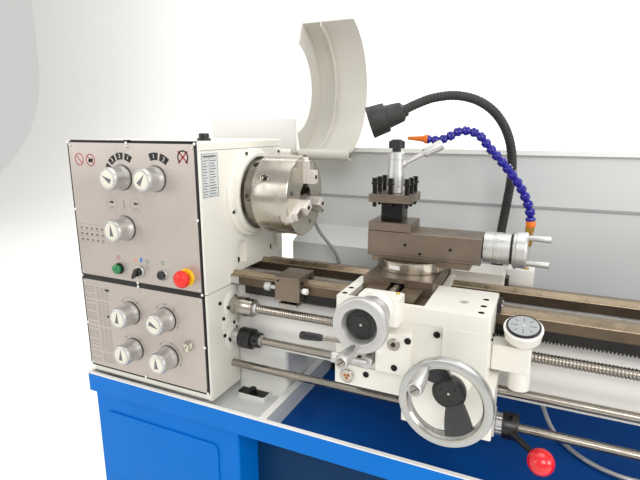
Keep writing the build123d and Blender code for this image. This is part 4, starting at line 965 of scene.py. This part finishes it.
def chuck_details():
    piece = Piece("chuck_sockets", "spindle", "chuck_steel")
    for angle in (30, 150, 270):
        way = around(angle, X)
        spot = Vector((92, 0, 0)) + way * 88
        piece.add(turned([(-5, 11.8), (8.6, 11.8), (9.2, 10.8), (7.5, 9.2), (3, 8.6)], spot, way, 40),
                  "polish")
        corner = [(-5, -5), (5, -5), (5, 5), (-5, 5)]
        piece.add(raised(corner, spot + way * 2.6, X, way.cross(X).normalized(), way, 1.6), "ink")
    for angle in (30, 90, 150, 210, 270, 330):
        way = around(angle, X)
        spot = Vector((48, 0, 0)) + way * 79
        piece.add(turned([(-1, 8.8), (6, 8.8), (6.6, 8), (6.6, 4.4), (3, 4)], spot, way, 32), "oxide")
    for angle in (50, 170, 290):
        way = around(angle, X)
        piece.add(turned([(-0.5, 5), (0.25, 5), (0.3, 4.2), (0.3, 2.6), (-0.2, 2.4)],
                         Vector((157.5, 0, 0)) + way * 72,
                         X, 24), "oxide")
    piece.add(turned([(61.2, 84), (62.3, 86.2), (63, 84)], (0, 0, 0), X, 96), "oxide")
    piece.done(angle=30)


def jaw(index, angle):
    """Stepped jaw with scroll teeth showing at its outer end."""
    turn = Matrix.Rotation(math.radians(angle - 90), 4, "X")
    piece = Piece(f"stepped_jaw_{index}", f"jaw_{index}", "chuck_steel")
    parts = [block(130.4, 161.5, -11, 11, 30, 92, 0.8), block(138.3, 147.7, -14, 14, 30, 92, 0.5),
             block(161, 174, -11, 11, 30, 84, 1.0), block(173.5, 186, -11, 11, 30, 62, 1.0)]
    for shape in parts:
        piece.add(moved(shape, turn), "jaw")
    for tooth in range(6):
        z = 84.8 - 4 * tooth
        piece.add(moved(block(173.2, 175.2, -9.5, 9.5, z - 3.2, z - 0.6, 0.4), turn), "steel")
    piece.add(moved(turned([(0, 5.4), (1.0, 5.4), (1.2, 3), (0.2, 2.8)], (186, 0, 46), X, 6), turn), "oxide")
    piece.done(f"chuck_jaw_{index}")


chuck_details()
for index, angle in ((1, 90), (2, 210), (3, 330)):
    jaw(index, angle)


# Rods -----------------------------------------------------------------------------------

def threaded_rod(name, body, node, y, z, x0, x1, radius, pitch, depth, material, slot, extras=()):
    """Rod with a real helical thread between two places."""
    steps, per_pitch = 20, 4
    rows = int((x1 - x0) / pitch * per_pitch)
    vertices = []
    for row in range(rows + 1):
        x = x0 + (x1 - x0) * row / rows
        for step in range(steps):
            phase = ((x - x0) / pitch - step / steps) % 1.0
            rise = max(0.0, min(1.0, 2.4 - abs(phase - 0.5) * 7))
            r = radius - depth * (1 - rise)
            turn = 2 * math.pi * step / steps
            vertices.append((x, y + r * math.cos(turn), z + r * math.sin(turn)))
    rod = Piece(name, body, slot)
    rod.add((vertices, skin(rows + 1, steps)), material)
    for profile, key in extras:
        rod.add(turned(profile, (0, y, z), X, 48), key)
    rod.done(node, angle=60)


LEAD_EXTRAS = [
    ([(-445, 11), (60, 11)], "steel"),
    ([(-440, 35), (-424, 35), (-424, 12)], "steel"),
    ([(5, 16), (6, 22), (7.5, 23), (46, 23), (47, 21.6), (64, 21.6), (66, 20)], "steel"),
    ([(66, 14), (74, 14), (75, 12.5)], "satin"),
    ([(1360, 10.6), (1415, 10.6), (1415.0, 10)], "steel"),
]
threaded_rod("lead_screw_thread", "leadscrew", "leadscrew", SCREW_Y, SCREW_Z, 60, 1362, 11, 6, 2.0,
             "steel", "machined_steel", LEAD_EXTRAS)


def feed_rod_details():
    piece = Piece("feed_rod_coupling", "feed_rod", "machined_steel")
    axis = (0, SCREW_Y, FEED_Z)
    piece.add(turned([(-10, 9.5), (1415, 9.5), (1415, 9.4)], axis, X, 32), "steel")
    piece.add(turned([(6, 20), (20, 20), (21, 19.4), (30, 19.4)], axis, X, 48), "satin")
    piece.add(turned([(24, 24), (26, 26), (59, 26), (60, 25), (60, 20), (66, 20), (80, 19), (80, 10)], axis,
                     X, 48), "black")
    piece.add(turned([(80, 14), (86, 14), (87, 12)], axis, X, 40), "satin")
    cap_screw(piece, (73, -118.5, -350), (0, -1, 0.25), 3)
    piece.done("feed_rod", angle=30)


feed_rod_details()


def stop_details():
    piece = Piece("stop_fittings", "frame", "machined_steel")
    piece.add(block(138, 202, -124.3, -45.7, -231, -172.8, 1.2), "slide")
    piece.add(turned([(106, 9.5), (108, 10.5), (119, 10.5), (121, 9.5), (121, 6)], (0, -112, -205), X, 36),
              "satin")
    piece.add(turned([(121, 5), (216, 5)], (0, -112, -205), X, 24), "satin")
    piece.add(turned([(206, 7), (216.6, 7), (217.4, 5.8)], (0, -112, -205), X, 24), "print_white")
    for y, z in ((-112, -186), (-70, -186)):
        cap_screw(piece, (201.5, y, z), X, 4)
    cap_screw(piece, (147, -124, -183), OUT, 2.2)
    piece.add(block(146, 194, -123, -78, -244, -238, 0.6), "steel")
    piece.add(turned([(-240, 4), (-226, 4)], (170, -113, 0), Z, 20), "oxide")
    piece.done("bed_stop", angle=30)
    collar = Piece("way_clip", "frame", "machined_steel")
    collar.add(block(0, 24, -103.5, -101.8, -214, -196, 0.5), "satin")
    collar.done()


def rack_teeth():
    """Straight teeth under the front rail's rack."""
    x, pitch = 200.0, 6.28
    outline = []
    while x < 1380:
        outline += [(x, -236.2), (x + 1.3, -240.4), (x + 3.2, -240.4), (x + 4.5, -236.2)]
        x += pitch
    shape = prism([(200, -232)] + outline + [(1382, -236.2), (1382, -232)], (0, -99.5, 0), X, Z, -18)
    rack = Piece("rack_teeth", "frame", "machined_steel")
    rack.add(shape, "oxide")
    rack.done(angle=20)


stop_details()
rack_teeth()


# Coolant hose and lamp ------------------------------------------------------------------

HOSE_ROUTE = [(665, 124, -44), (661, 123, -20), (641, 122, 25), (608, 121, 70), (566, 120, 116),
              (538, 120, 147), (502, 120, 155), (480, 120, 144), (453, 120, 133), (424, 120, 135)]
NOZZLE_TIP = Vector((375, 120, 137))
BEAD = 19.0


def even_points(path, spacing):
    """Points a set distance apart along a path."""
    lengths = [0.0]
    for a, b in zip(path, path[1:]):
        lengths.append(lengths[-1] + (b - a).length)
    count = max(1, round(lengths[-1] / spacing))
    points, index = [], 0
    for step in range(count + 1):
        goal = lengths[-1] * step / count
        while index < len(path) - 2 and lengths[index + 1] < goal:
            index += 1
        share = (goal - lengths[index]) / (lengths[index + 1] - lengths[index])
        points.append(path[index].lerp(path[index + 1], min(1.0, share)))
    return points


def coolant():
    piece = Piece("coolant_hose", "carriage", "hose_plastic")
    points = even_points(smooth_path(HOSE_ROUTE), BEAD)
    for number, (a, b) in enumerate(zip(points, points[1:])):
        step = (b - a).length
        scale = step / BEAD
        bead = [(-4.0, 5.2), (-2.8, 8.0), (0, 10.4), (3.0, 11.3), (6.0, 10.4), (8.0, 8.0), (9.2, 6.6),
                (10.6, 6.9),
                (13.6, 9.0), (15.4, 10.9), (18.0, 10.9), (19.0, 9.0), (19.2, 6.0)]
        piece.add(turned([(along * scale, r) for along, r in bead], a, b - a, 14), "hose")
    last = points[-1]
    way = (NOZZLE_TIP - last).normalized()
    reach = (NOZZLE_TIP - last).length
    piece.add(turned([(-4, 7), (-2, 10.5), (1.5, 11.2), (6, 11), (9, 8.6), (12, 7.2), (reach - 2, 4),
                      (reach, 3.6),
                      (reach, 2.4), (reach - 6, 2.2)], last, way, 24), "orange")
    foot = points[0]
    piece.add(turned([(-16, 8.5), (-14, 10.4), (-4, 10.6), (-1, 9.6), (3, 7.5)], foot, points[1] - foot, 24),
              "orange")
    valve = (665, 124, 0)
    piece.add(turned([(-104, 6), (-96, 8.4), (-76, 8.4), (-75, 7), (-72, 7), (-71, 9.6), (-60, 9.6),
                      (-59, 8)],
                     valve, Z, 6), "brass")
    piece.add(turned([(-159, 4.6), (-100, 4.6)], valve, Z, 20), "satin")
    piece.add(turned([(0, 4.5), (16, 4.5), (16, 3.6), (22, 3.6)], (665, 122, -86), OUT, 16), "brass")
    piece.add(block(662.6, 667.4, 98, 102, -96, -76, 1.2), "brass")
    piece.add(block(625, 684, 110, 156, -196, -158, 2.5), "white")
    for y in (120, 146):
        cap_screw(piece, (640, y, -158.3), Z, 3.6)
    piece.add(turned([(0, 7), (3, 7), (3.6, 6)], (665, 124, -158.3), Z, 6), "brass")
    piece.done("coolant_line", angle=32)


LAMP_ROUTE = [(597, 188, -170), (600, 188, -89), (607, 186, -20), (613, 180, 60), (604, 166, 130),
              (578, 146, 184), (538, 130, 218), (490, 112, 232), (440, 96, 228), (398, 80, 212),
              (372, 62, 196)]


def work_lamp():
    piece = Piece("gooseneck_lamp", "carriage", "lamp_black")
    points = even_points(smooth_path(LAMP_ROUTE), 2.0)
    piece.add(tube(points, lambda i: 10.9 if i % 4 < 2 else 10.1, 18), "lamp")
    start, heading = Vector(LAMP_ROUTE[-1]), Vector((-90, -25, -32))
    collar = [(-16, 11), (-14, 13.4), (-9, 14), (-8, 16), (-6, 18), (-4, 21.5), (0, 22.8), (5, 23.4),
              (30, 26.5), (32, 27.5),
              (33, 32.4), (35, 33.6), (72, 36.6), (74, 36.2), (74, 33.6), (42, 30), (40, 28)]
    piece.add(turned(collar, start, heading, 64), "lamp")
    piece.add(turned([(39, 29.6), (44, 29.6), (47, 26), (49, 14)], start, heading, 48), "glass")
    piece.add(turned([(-190, 24), (-184, 24), (-182, 22), (-180, 14), (-166, 14), (-164, 12)], (597, 188, 0),
                     Z, 40), "lamp")
    piece.add(block(570, 623, 160, 214, -196, -190, 1), "white")
    piece.add(block(570, 623, 160, 166, -196, -168, 1), "white")
    piece.done("lamp", angle=40)


coolant()
work_lamp()


# Tool post and compound rest ------------------------------------------------------------

def square_screw(piece, x, y):
    """Square-head tool screw with its collar, above and below the post's plate."""
    piece.add(turned([(-11.5, 2.6), (-9.5, 4.5), (3, 4.5)], (x, y, 2), Z, 20), "oxide")
    stem = []
    for ring in range(9):
        stem += [(20 + 2.2 * ring, 5.5), (21.1 + 2.2 * ring, 4.9)]
    piece.add(turned([(19, 5.5)] + stem, (x, y, 0), Z, 20), "oxide")
    piece.add(turned([(39.5, 6.4), (40.5, 7.6), (43.4, 7.6), (44.2, 6.8)], (x, y, 0), Z, 24), "oxide")
    piece.add(block(x - 4.9, x + 4.9, y - 4.9, y + 4.9, 43.8, 54.8, 0.9), "oxide")


def tool_post():
    px, py = POST
    piece = Piece("four_way_post", "tool_post", "machined_steel")
    piece.add(block(px - 24, px + 24, py - 24, py + 24, -41.6, 2.5, 1.5), "oxide")
    piece.add(block(px - 46.5, px + 46.5, py - 46.5, py + 46.5, 2, 20, 1.2), "slide")
    for dx, dy in ((-36, -36), (-36, 0), (-36, 36), (36, -36), (36, 0), (36, 36), (0, -36), (0, 36)):
        square_screw(piece, px + dx, py + dy)
    piece.done("tool_post", angle=30)


def clamp_handle():
    px, py = POST
    piece = Piece("clamp_handle", "clamp_lever", "machined_steel")
    column = [(20.4, 17), (21, 18), (31, 18), (31.4, 16.8), (33, 16.8), (33.4, 18.6), (36, 19), (62, 18.6),
              (76, 17.2),
              (92, 16.8), (92.4, 15.6), (94, 15.6), (94.4, 17), (107, 16.6), (109.6, 14.4), (110, 8)]
    piece.add(turned(column, (px, py, 0), Z, 56), "satin")
    piece.add(turned([(109, 9.6), (117.6, 9.6), (117.6, 7)], (px, py, 0), Z, 32), "black")
    star = []
    for step in range(72):
        turn = 2 * math.pi * step / 72
        r = 16.2 + 1.9 * math.tanh(2.6 * math.cos(8 * turn))
        star.append((r * math.cos(turn), r * math.sin(turn)))
    piece.add(prism(star, (px, py, 117.4), X, Y, 15.4), "black")
    piece.add(turned([(132.5, 14.2), (135.4, 12.5), (136.8, 8), (136.2, 5)], (px, py, 0), Z, 40), "black")
    start, way = Vector((px + 16, py + 5, 84)), Vector((73, 24, 40))
    piece.add(turned([(-4, 8.4), (4, 7.6), (6, 5.2), (49, 5.6), (50, 8)], start, way, 28), "satin")
    piece.add(turned([(47, 8), (49, 9.8), (53, 10.4), (86, 11.4), (90.5, 10.4), (92, 8)], start, way, 40),
              "satin")
    piece.done("clamp_lever", angle=35)


def compound_details():
    top = Piece("top_slide_details", "top_slide", "ground_iron")
    for x, z in ((422, -88), (455, -105), (519, -89.5)):
        top.add(turned([(-0.2, 3.4), (0.5, 3.4), (0.7, 2.9), (0.7, 1.8), (0.1, 1.7)], (x, -47, z), OUT, 20),
                "oxide")
    top.add(block(337.2, 580.8, -47.35, -46, -110.9, -110.3), "ink")
    top.add(block(337.2, 432.8, -47.35, -46, -61.4, -60.7), "ink")
    top.done()
    ring = Piece("swivel_scale", "swivel", "machined_steel")
    face = [(-145.8, 74.3), (-145, 75), (-124, 75), (-122.4, 73.8)]
    ring.add(turned(face, SWIVEL_CENTRE, Z, 96), "polish")
    for step in range(-9, 10):
        way, side = around(4 * step - 72, Z), around(4 * step + 18, Z)
        tall = 3.2 if step % 5 else 5.0
        centre = Vector(SWIVEL_CENTRE) + Z * -140 + way * 74.7
        outline = [(-0.25, -4), (0.25, -4), (0.25, tall - 4), (-0.25, tall - 4)]
        ring.add(prism(outline, centre, side, Z, 0.55), "ink")
    way, side = around(-104, Z), around(-14, Z)
    centre = Vector(SWIVEL_CENTRE) + Z * -133 + way * 74.6
    ring.add(prism([(-13, -4.2), (13, -4.2), (13, 4.2), (-13, 4.2)], centre, side, Z, 0.9), "print_white")
    ring.done(angle=30)


def compound_wheel():
    left, y, z = 582.0, -4.0, -85.0
    piece = Piece("compound_crank", "compound_wheel", "machined_steel")
    centre = (left, y, z)
    piece.add(turned([(0, 30), (1, 32.6), (20, 33), (20.6, 31.6), (22, 31.6), (22.6, 33.2), (34, 33.2),
                      (34.4, 32.4),
                      (36, 32.4), (36.4, 33), (52, 33), (53, 32)], centre, X, 72), "satin")
    piece.add(turned([(52.6, 31.6), (57.4, 31.6)], centre, X, 56), "oxide")
    piece.add(turned([(57, 33), (59, 36), (63, 36.4), (64.4, 38), (81, 38), (84.4, 36), (85.4, 33),
                      (85.4, 20),
                      (82, 17), (82, 6)], centre, X, 72), "satin")
    dial_scale(piece, (left + 24, y, z), X, 32.9, 6.5, 4)
    for angle in (70, 250):
        spot = Vector((left + 80, y, z)) + around(angle, X) * 26
        profile = [(0, 5.0), (3, 5.6), (24, 6.0), (45, 6.8), (47.4, 6), (48, 4.4)]
        piece.add(turned(profile, spot, X, 28), "satin")
    piece.add(turned([(-137, 8), (4, 8), (4, 7)], (left, y, z), X, 24), "steel")
    piece.done("compound_handwheel", angle=30)


tool_post()
clamp_handle()
compound_details()
compound_wheel()


# Saddle and apron -----------------------------------------------------------------------

def wheel_grip(piece, spot, way, length, r):
    """Turned handle with a slotted screw in its end."""
    profile = [(0, r * 0.55), (8, r * 0.5), (10, r * 0.66), (16, r * 0.76), (length * 0.55, r * 0.96),
               (length - 8, r), (length - 2, r * 0.9), (length, r * 0.74), (length - 0.8, r * 0.62)]
    piece.add(turned(profile, spot, way, 40), "satin")
    axis, side, up = basis(way, 40)
    end = Vector(spot) + axis * (length - 0.6)
    piece.add(turned([(0, r * 0.56), (1.2, r * 0.56), (1.6, r * 0.46)], end, way, 28), "steel")
    outline = [(-r * 0.5, -0.8), (r * 0.5, -0.8), (r * 0.5, 0.8), (-r * 0.5, 0.8)]
    piece.add(raised(outline, end + axis * 1.45, side, up, axis, 0.3), "ink")


def hub_screws(piece, centre, radius, start, size=2.0):
    for step in range(3):
        spot = Vector(centre) + around(start + 120 * step, OUT) * radius
        piece.add(turned([(-0.3, size), (0.5, size), (0.6, size * 0.6)], spot, OUT, 12), "ink")


def apron_wheel():
    x, y, z = 567.0, -290.0, -296.0
    out = OUT
    piece = Piece("apron_wheel_rim", "apron_wheel", "machined_steel")
    rim = [(-10, 64.5), (-10, 74), (-7, 78.5), (0, 80), (10, 79.8), (13, 78.6), (14, 76.6), (14, 66.6),
           (13.2, 65.2),
           (11.6, 64.6), (8, 62), (-6, 62)]
    piece.add(turned(rim, (x, y, z), out, 96, closed=True), "wheel")
    piece.add(turned([(12, 63.9), (13.9, 65.2), (14.3, 66.2), (14.3, 67.2), (12, 67.4)], (x, y, z), out, 96,
                     closed=True),
              "polish")
    hub = [(-49, 24), (-47, 27), (-40, 29.4), (-30, 30), (-27, 28.6), (-25.6, 26), (-26.2, 24.6),
           (-25.4, 23.6), (-25, 6)]
    piece.add(turned(hub, (x, y, z), out, 64), "black")
    hub_screws(piece, (x, y + 25.1, z), 14, 35)
    piece.add(turned([(-25.2, 2.2), (-24.4, 2.2), (-24.2, 1.2)], (x, y, z), out, 16), "satin")
    for angle in (116, 296):
        axis, side = around(angle, OUT), around(angle + 90, OUT)
        fan = []
        for reach in (18, 26, 34, 42, 50, 58, 64):
            spread = math.radians(42 - 0.3 * reach)
            fan.append((reach * math.cos(spread), reach * math.sin(spread)))
        tip = [(64 * math.cos(a), 64 * math.sin(a)) for a in (-0.28, 0, 0.28)]
        outline = [(u, -v) for u, v in fan] + tip + fan[::-1]
        vertices, faces = raised(outline, (x, y + 5, z), axis, side, OUT, 10)
        dished = []
        for vertex in vertices:
            reach = math.hypot(vertex.x - x, vertex.z - z)
            back = 33 * max(0.0, min(1.0, (62 - reach) / 36))
            dished.append(vertex + Vector((0, back, 0)))
        piece.add((dished, faces), "black")
    piece.add(turned([(-140, 10), (-40, 10)], (x, y, z), out, 32), "steel")
    wheel_grip(piece, Vector((x, y - 12, z)) + around(121, OUT) * 68, out, 78, 13)
    piece.done("apron_handwheel", angle=32)


def cross_wheel():
    x, y, z = 426.0, -330.0, -165.0
    out = OUT
    piece = Piece("cross_wheel_disc", "cross_wheel", "machined_steel")
    back = y + 14
    disc = [(0, 20), (2, 30), (6, 42), (10, 47.8), (14, 49), (23, 49), (26, 47.8), (27, 46), (27.2, 34),
            (26.4, 32),
            (18, 28), (12, 27), (12, 24)]
    piece.add(turned(disc, (x, back, z), out, 96), "satin")
    piece.add(turned([(11, 26.6), (15, 26.6), (16, 25), (16.2, 17), (17.4, 16.4), (17.4, 5)], (x, back, z),
                     out, 64),
              "black")
    hub_screws(piece, (x, back - 16.2, z), 20.5, 70, 2.2)
    piece.add(turned([(17.2, 2.4), (18.4, 2.4), (18.6, 1.6)], (x, back, z), out, 6), "satin")
    collar = [(0, 30), (1, 31.4), (30, 33.6), (31, 33.8), (40, 34.2), (46, 34), (48, 30), (49, 20)]
    piece.add(turned(collar, (x, -267, z), out, 72), "satin")
    dial_scale(piece, (x, -270, z), OUT, 31.6, 6, 4)
    piece.add(turned([(-96, 8), (290, 8)], (x, 0, z), out, 28), "steel")
    wheel_grip(piece, Vector((x, y - 10, z)) + around(259, OUT) * 40, out, 64.7, 12)
    piece.done("cross_handwheel", angle=32)


def apron_details():
    piece = Piece("apron_fittings", "carriage", "machined_steel")
    out = OUT
    shaft = [(-0.5, 12), (2.2, 12), (3, 11), (3, 5.4), (1.6, 5)]
    piece.add(turned(shaft, (456.4, -234, -236.5), out, 40), "steel")
    piece.add(turned([(1.2, 4.8), (1.9, 4.8)], (456.4, -234, -236.5), out, 6), "ink")
    for x, y, z in ((483, -234, -225), (459, -234, -284), (396, -213, -322), (531.7, -212, -212),
                    (381, -212, -290)):
        piece.add(turned([(-0.5, 6.4), (0.9, 6.4), (1.3, 5.7), (1.3, 3.2), (0.2, 3)], (x, y, z), out, 32),
                  "oxide")
    piece.add(turned([(2.5, 14.6), (4, 14.6), (5.6, 13), (5.6, 10.6), (4.2, 9.6)], APRON_SIGHT, out, 48),
              "polish")
    piece.add(turned([(3.8, 9.8), (4.8, 9.6)], APRON_SIGHT, out, 36), "glass")
    for step in range(3):
        spot = Vector(APRON_SIGHT) + OUT * 4.6 + around(120 * step + math.degrees(0.6), OUT) * 4.2
        piece.add(turned([(0, 3.4), (0.5, 3.2), (0.7, 2)], spot, out, 16), "copper")
    piece.add(prism([(424, -262), (434, -262), (434, -240), (424, -240)], (0, -233.9, 0), X, Z, 0.35),
              "print_white")
    for y in (-188, -150, -110):
        piece.add(turned([(-7.9, 5.9), (-6.2, 5.9), (-6, 3)], (604, y, WING_TOP), Z, 28), "oxide")
        piece.add(turned([(-7.6, 3.2), (-5.2, 3.2), (-5.2, 1.6)], (604, y, WING_TOP), Z, 6), "satin")
    for y in (-186, -150):
        piece.add(turned([(-7.6, 4.6), (-3.4, 4.6), (-3, 4), (-3, 2.2), (-4, 2)], (338, y, WING_TOP), Z, 28),
                  "oxide")
    piece.add(turned([(-5.9, 8.6), (-5.2, 8.6), (-5, 5)], (566, -140, WING_TOP), Z, 36), "oxide")
    for y, z in ((-98, -178), (-72, -178), (82, -178), (98, -178)):
        cap_screw(piece, (631.6, y, z), X, 2.6, "satin")
    for z, r in ((SCREW_Z, 15), (FEED_Z, 14)):
        piece.add(turned([(624, r), (632, r), (634, r - 2)], (0, SCREW_Y, z), X, 36), "oxide")
    for y in (-168, -146):
        cap_screw(piece, (623.5, y, -222), X, 3.2)
    piece.add(turned([(0, 3.4), (2, 3.4), (4, 2.2), (4.6, 1)], (454, -206, -146.4), Z, 20), "brass")
    piece.done(angle=32)


def dial_details():
    piece = Piece("dial_face", "thread_dial", "machined_steel")
    tilt = DIAL_TILT
    start = DIAL_START + tilt * 34.4
    piece.add(turned([(0, 30), (3.6, 30.2), (4.4, 29.4), (4.6, 27.4), (4.0, 26.9)], start, tilt, 72), "oxide")
    piece.add(turned([(0.4, 26.8), (4.2, 26.8), (4.25, 5)], start, tilt, 64), "dial")
    axis, side, up = basis(tilt)
    for step in range(8):
        turn = 2 * math.pi * step / 8
        way = side * math.cos(turn) + up * math.sin(turn)
        across = axis.cross(way)
        near_r, far_r = (10, 22) if step % 2 == 0 else (15, 22)
        outline = [(near_r, -0.5), (far_r, -0.5), (far_r, 0.5), (near_r, 0.5)]
        piece.add(prism(outline, start + axis * 4.1, way, across, 0.35), "ink")
    piece.add(turned([(4, 2.4), (5, 2.4), (5.4, 1.2)], start, tilt, 16), "satin")
    piece.done("thread_dial", angle=32)
    housing = Piece("dial_housing_line", "carriage", "cast_paint")
    rim = [(29, 34.2), (30, 34.6), (33.4, 34.6), (34.2, 33.8)]
    housing.add(turned(rim, DIAL_START, tilt, 72), "white")
    housing.done(angle=40)


def levers():
    out = OUT
    half = Piece("half_nut_grip", "half_nut_lever", "black_plastic")
    x, z = 403.0, -250.0
    half.add(turned([(-26, 8), (0, 8)], (x, -208.5, z), out, 24), "steel")
    half.add(turned([(0, 13), (1, 14), (22, 12.4), (24, 11)], (x, -208.5, z), out, 40), "black")
    start, elbow, end = Vector((x, -230, z + 2)), Vector((310, -240, -248)), Vector((266, -245, -248))
    half.add(tube([start, start.lerp(elbow, 0.5), elbow, elbow.lerp(end, 0.1)], 4.8, 20), "steel")
    way = end - elbow
    half.add(turned([(-4, 5), (0, 6.6), (4, 7.4), (30, 8.5), (42, 8.4), (45, 6.4), (45.4, 3)], elbow, way,
                    36), "black")
    half.done("half_nut_lever", angle=35)
    feed = Piece("feed_lever_grip", "feed_lever", "machined_steel")
    x, z = 403.0, -284.0
    feed.add(turned([(-31, 8), (0, 8)], (x, -213.5, z), out, 24), "steel")
    feed.add(turned([(0, 13), (1, 14), (22, 12.4), (24, 11)], (x, -213.5, z), out, 40), "satin")
    start, end = Vector((x, -238, z + 2)), Vector((342, -266, -270))
    reach = (end - start).length
    feed.add(turned([(-2, 6), (10, 5.6), (20, 6), (26, 8.4), (reach - 4, 11.2), (reach, 9.6), (reach, 4)],
                    start,
                    end - start, 36), "satin")
    feed.done("feed_lever", angle=35)
    control = Piece("control_grip", "control_lever", "black_plastic")
    axis = CONTROL_AXIS
    flutes = []
    for step in range(96):
        turn = 2 * math.pi * step / 96
        r = 22 + 0.8 * math.cos(16 * turn)
        flutes.append((r * math.cos(turn), r * math.sin(turn)))
    control.add(prism(flutes, Vector(CONTROL_AXIS) + X * 641.3, Y, Z, 12.4), "satin")
    control.add(turned([(653.4, 24), (655, 27), (682, 27), (684.4, 25), (684.6, 11)], axis, X, 56), "black")
    cap_screw(control, (669, -119, -402.5), (0, -0.5, 0.86), 4.6)
    control.add(turned([(0, 5), (0.8, 5), (1, 3)], (684.2, -116, -412), X, 20), "ink")
    start, end = Vector((672, -126, -428)), Vector((720, -184, -430))
    reach = (end - start).length
    control.add(turned([(-4, 9), (2, 8.4), (6, 6.8), (reach - 8, 5.4), (reach + 4, 5.4)], start, end - start,
                       28), "black")
    centre = Vector((727, -194, -431))
    profile = []
    for step in range(25):
        turn = math.pi * step / 24
        profile.append((-24 * math.cos(turn), max(0.4, 24 * math.sin(turn))))
    control.add(turned(profile, centre, end - start, 48), "red")
    control.done("control_lever", angle=45)


apron_wheel()
cross_wheel()
apron_details()
dial_details()
levers()
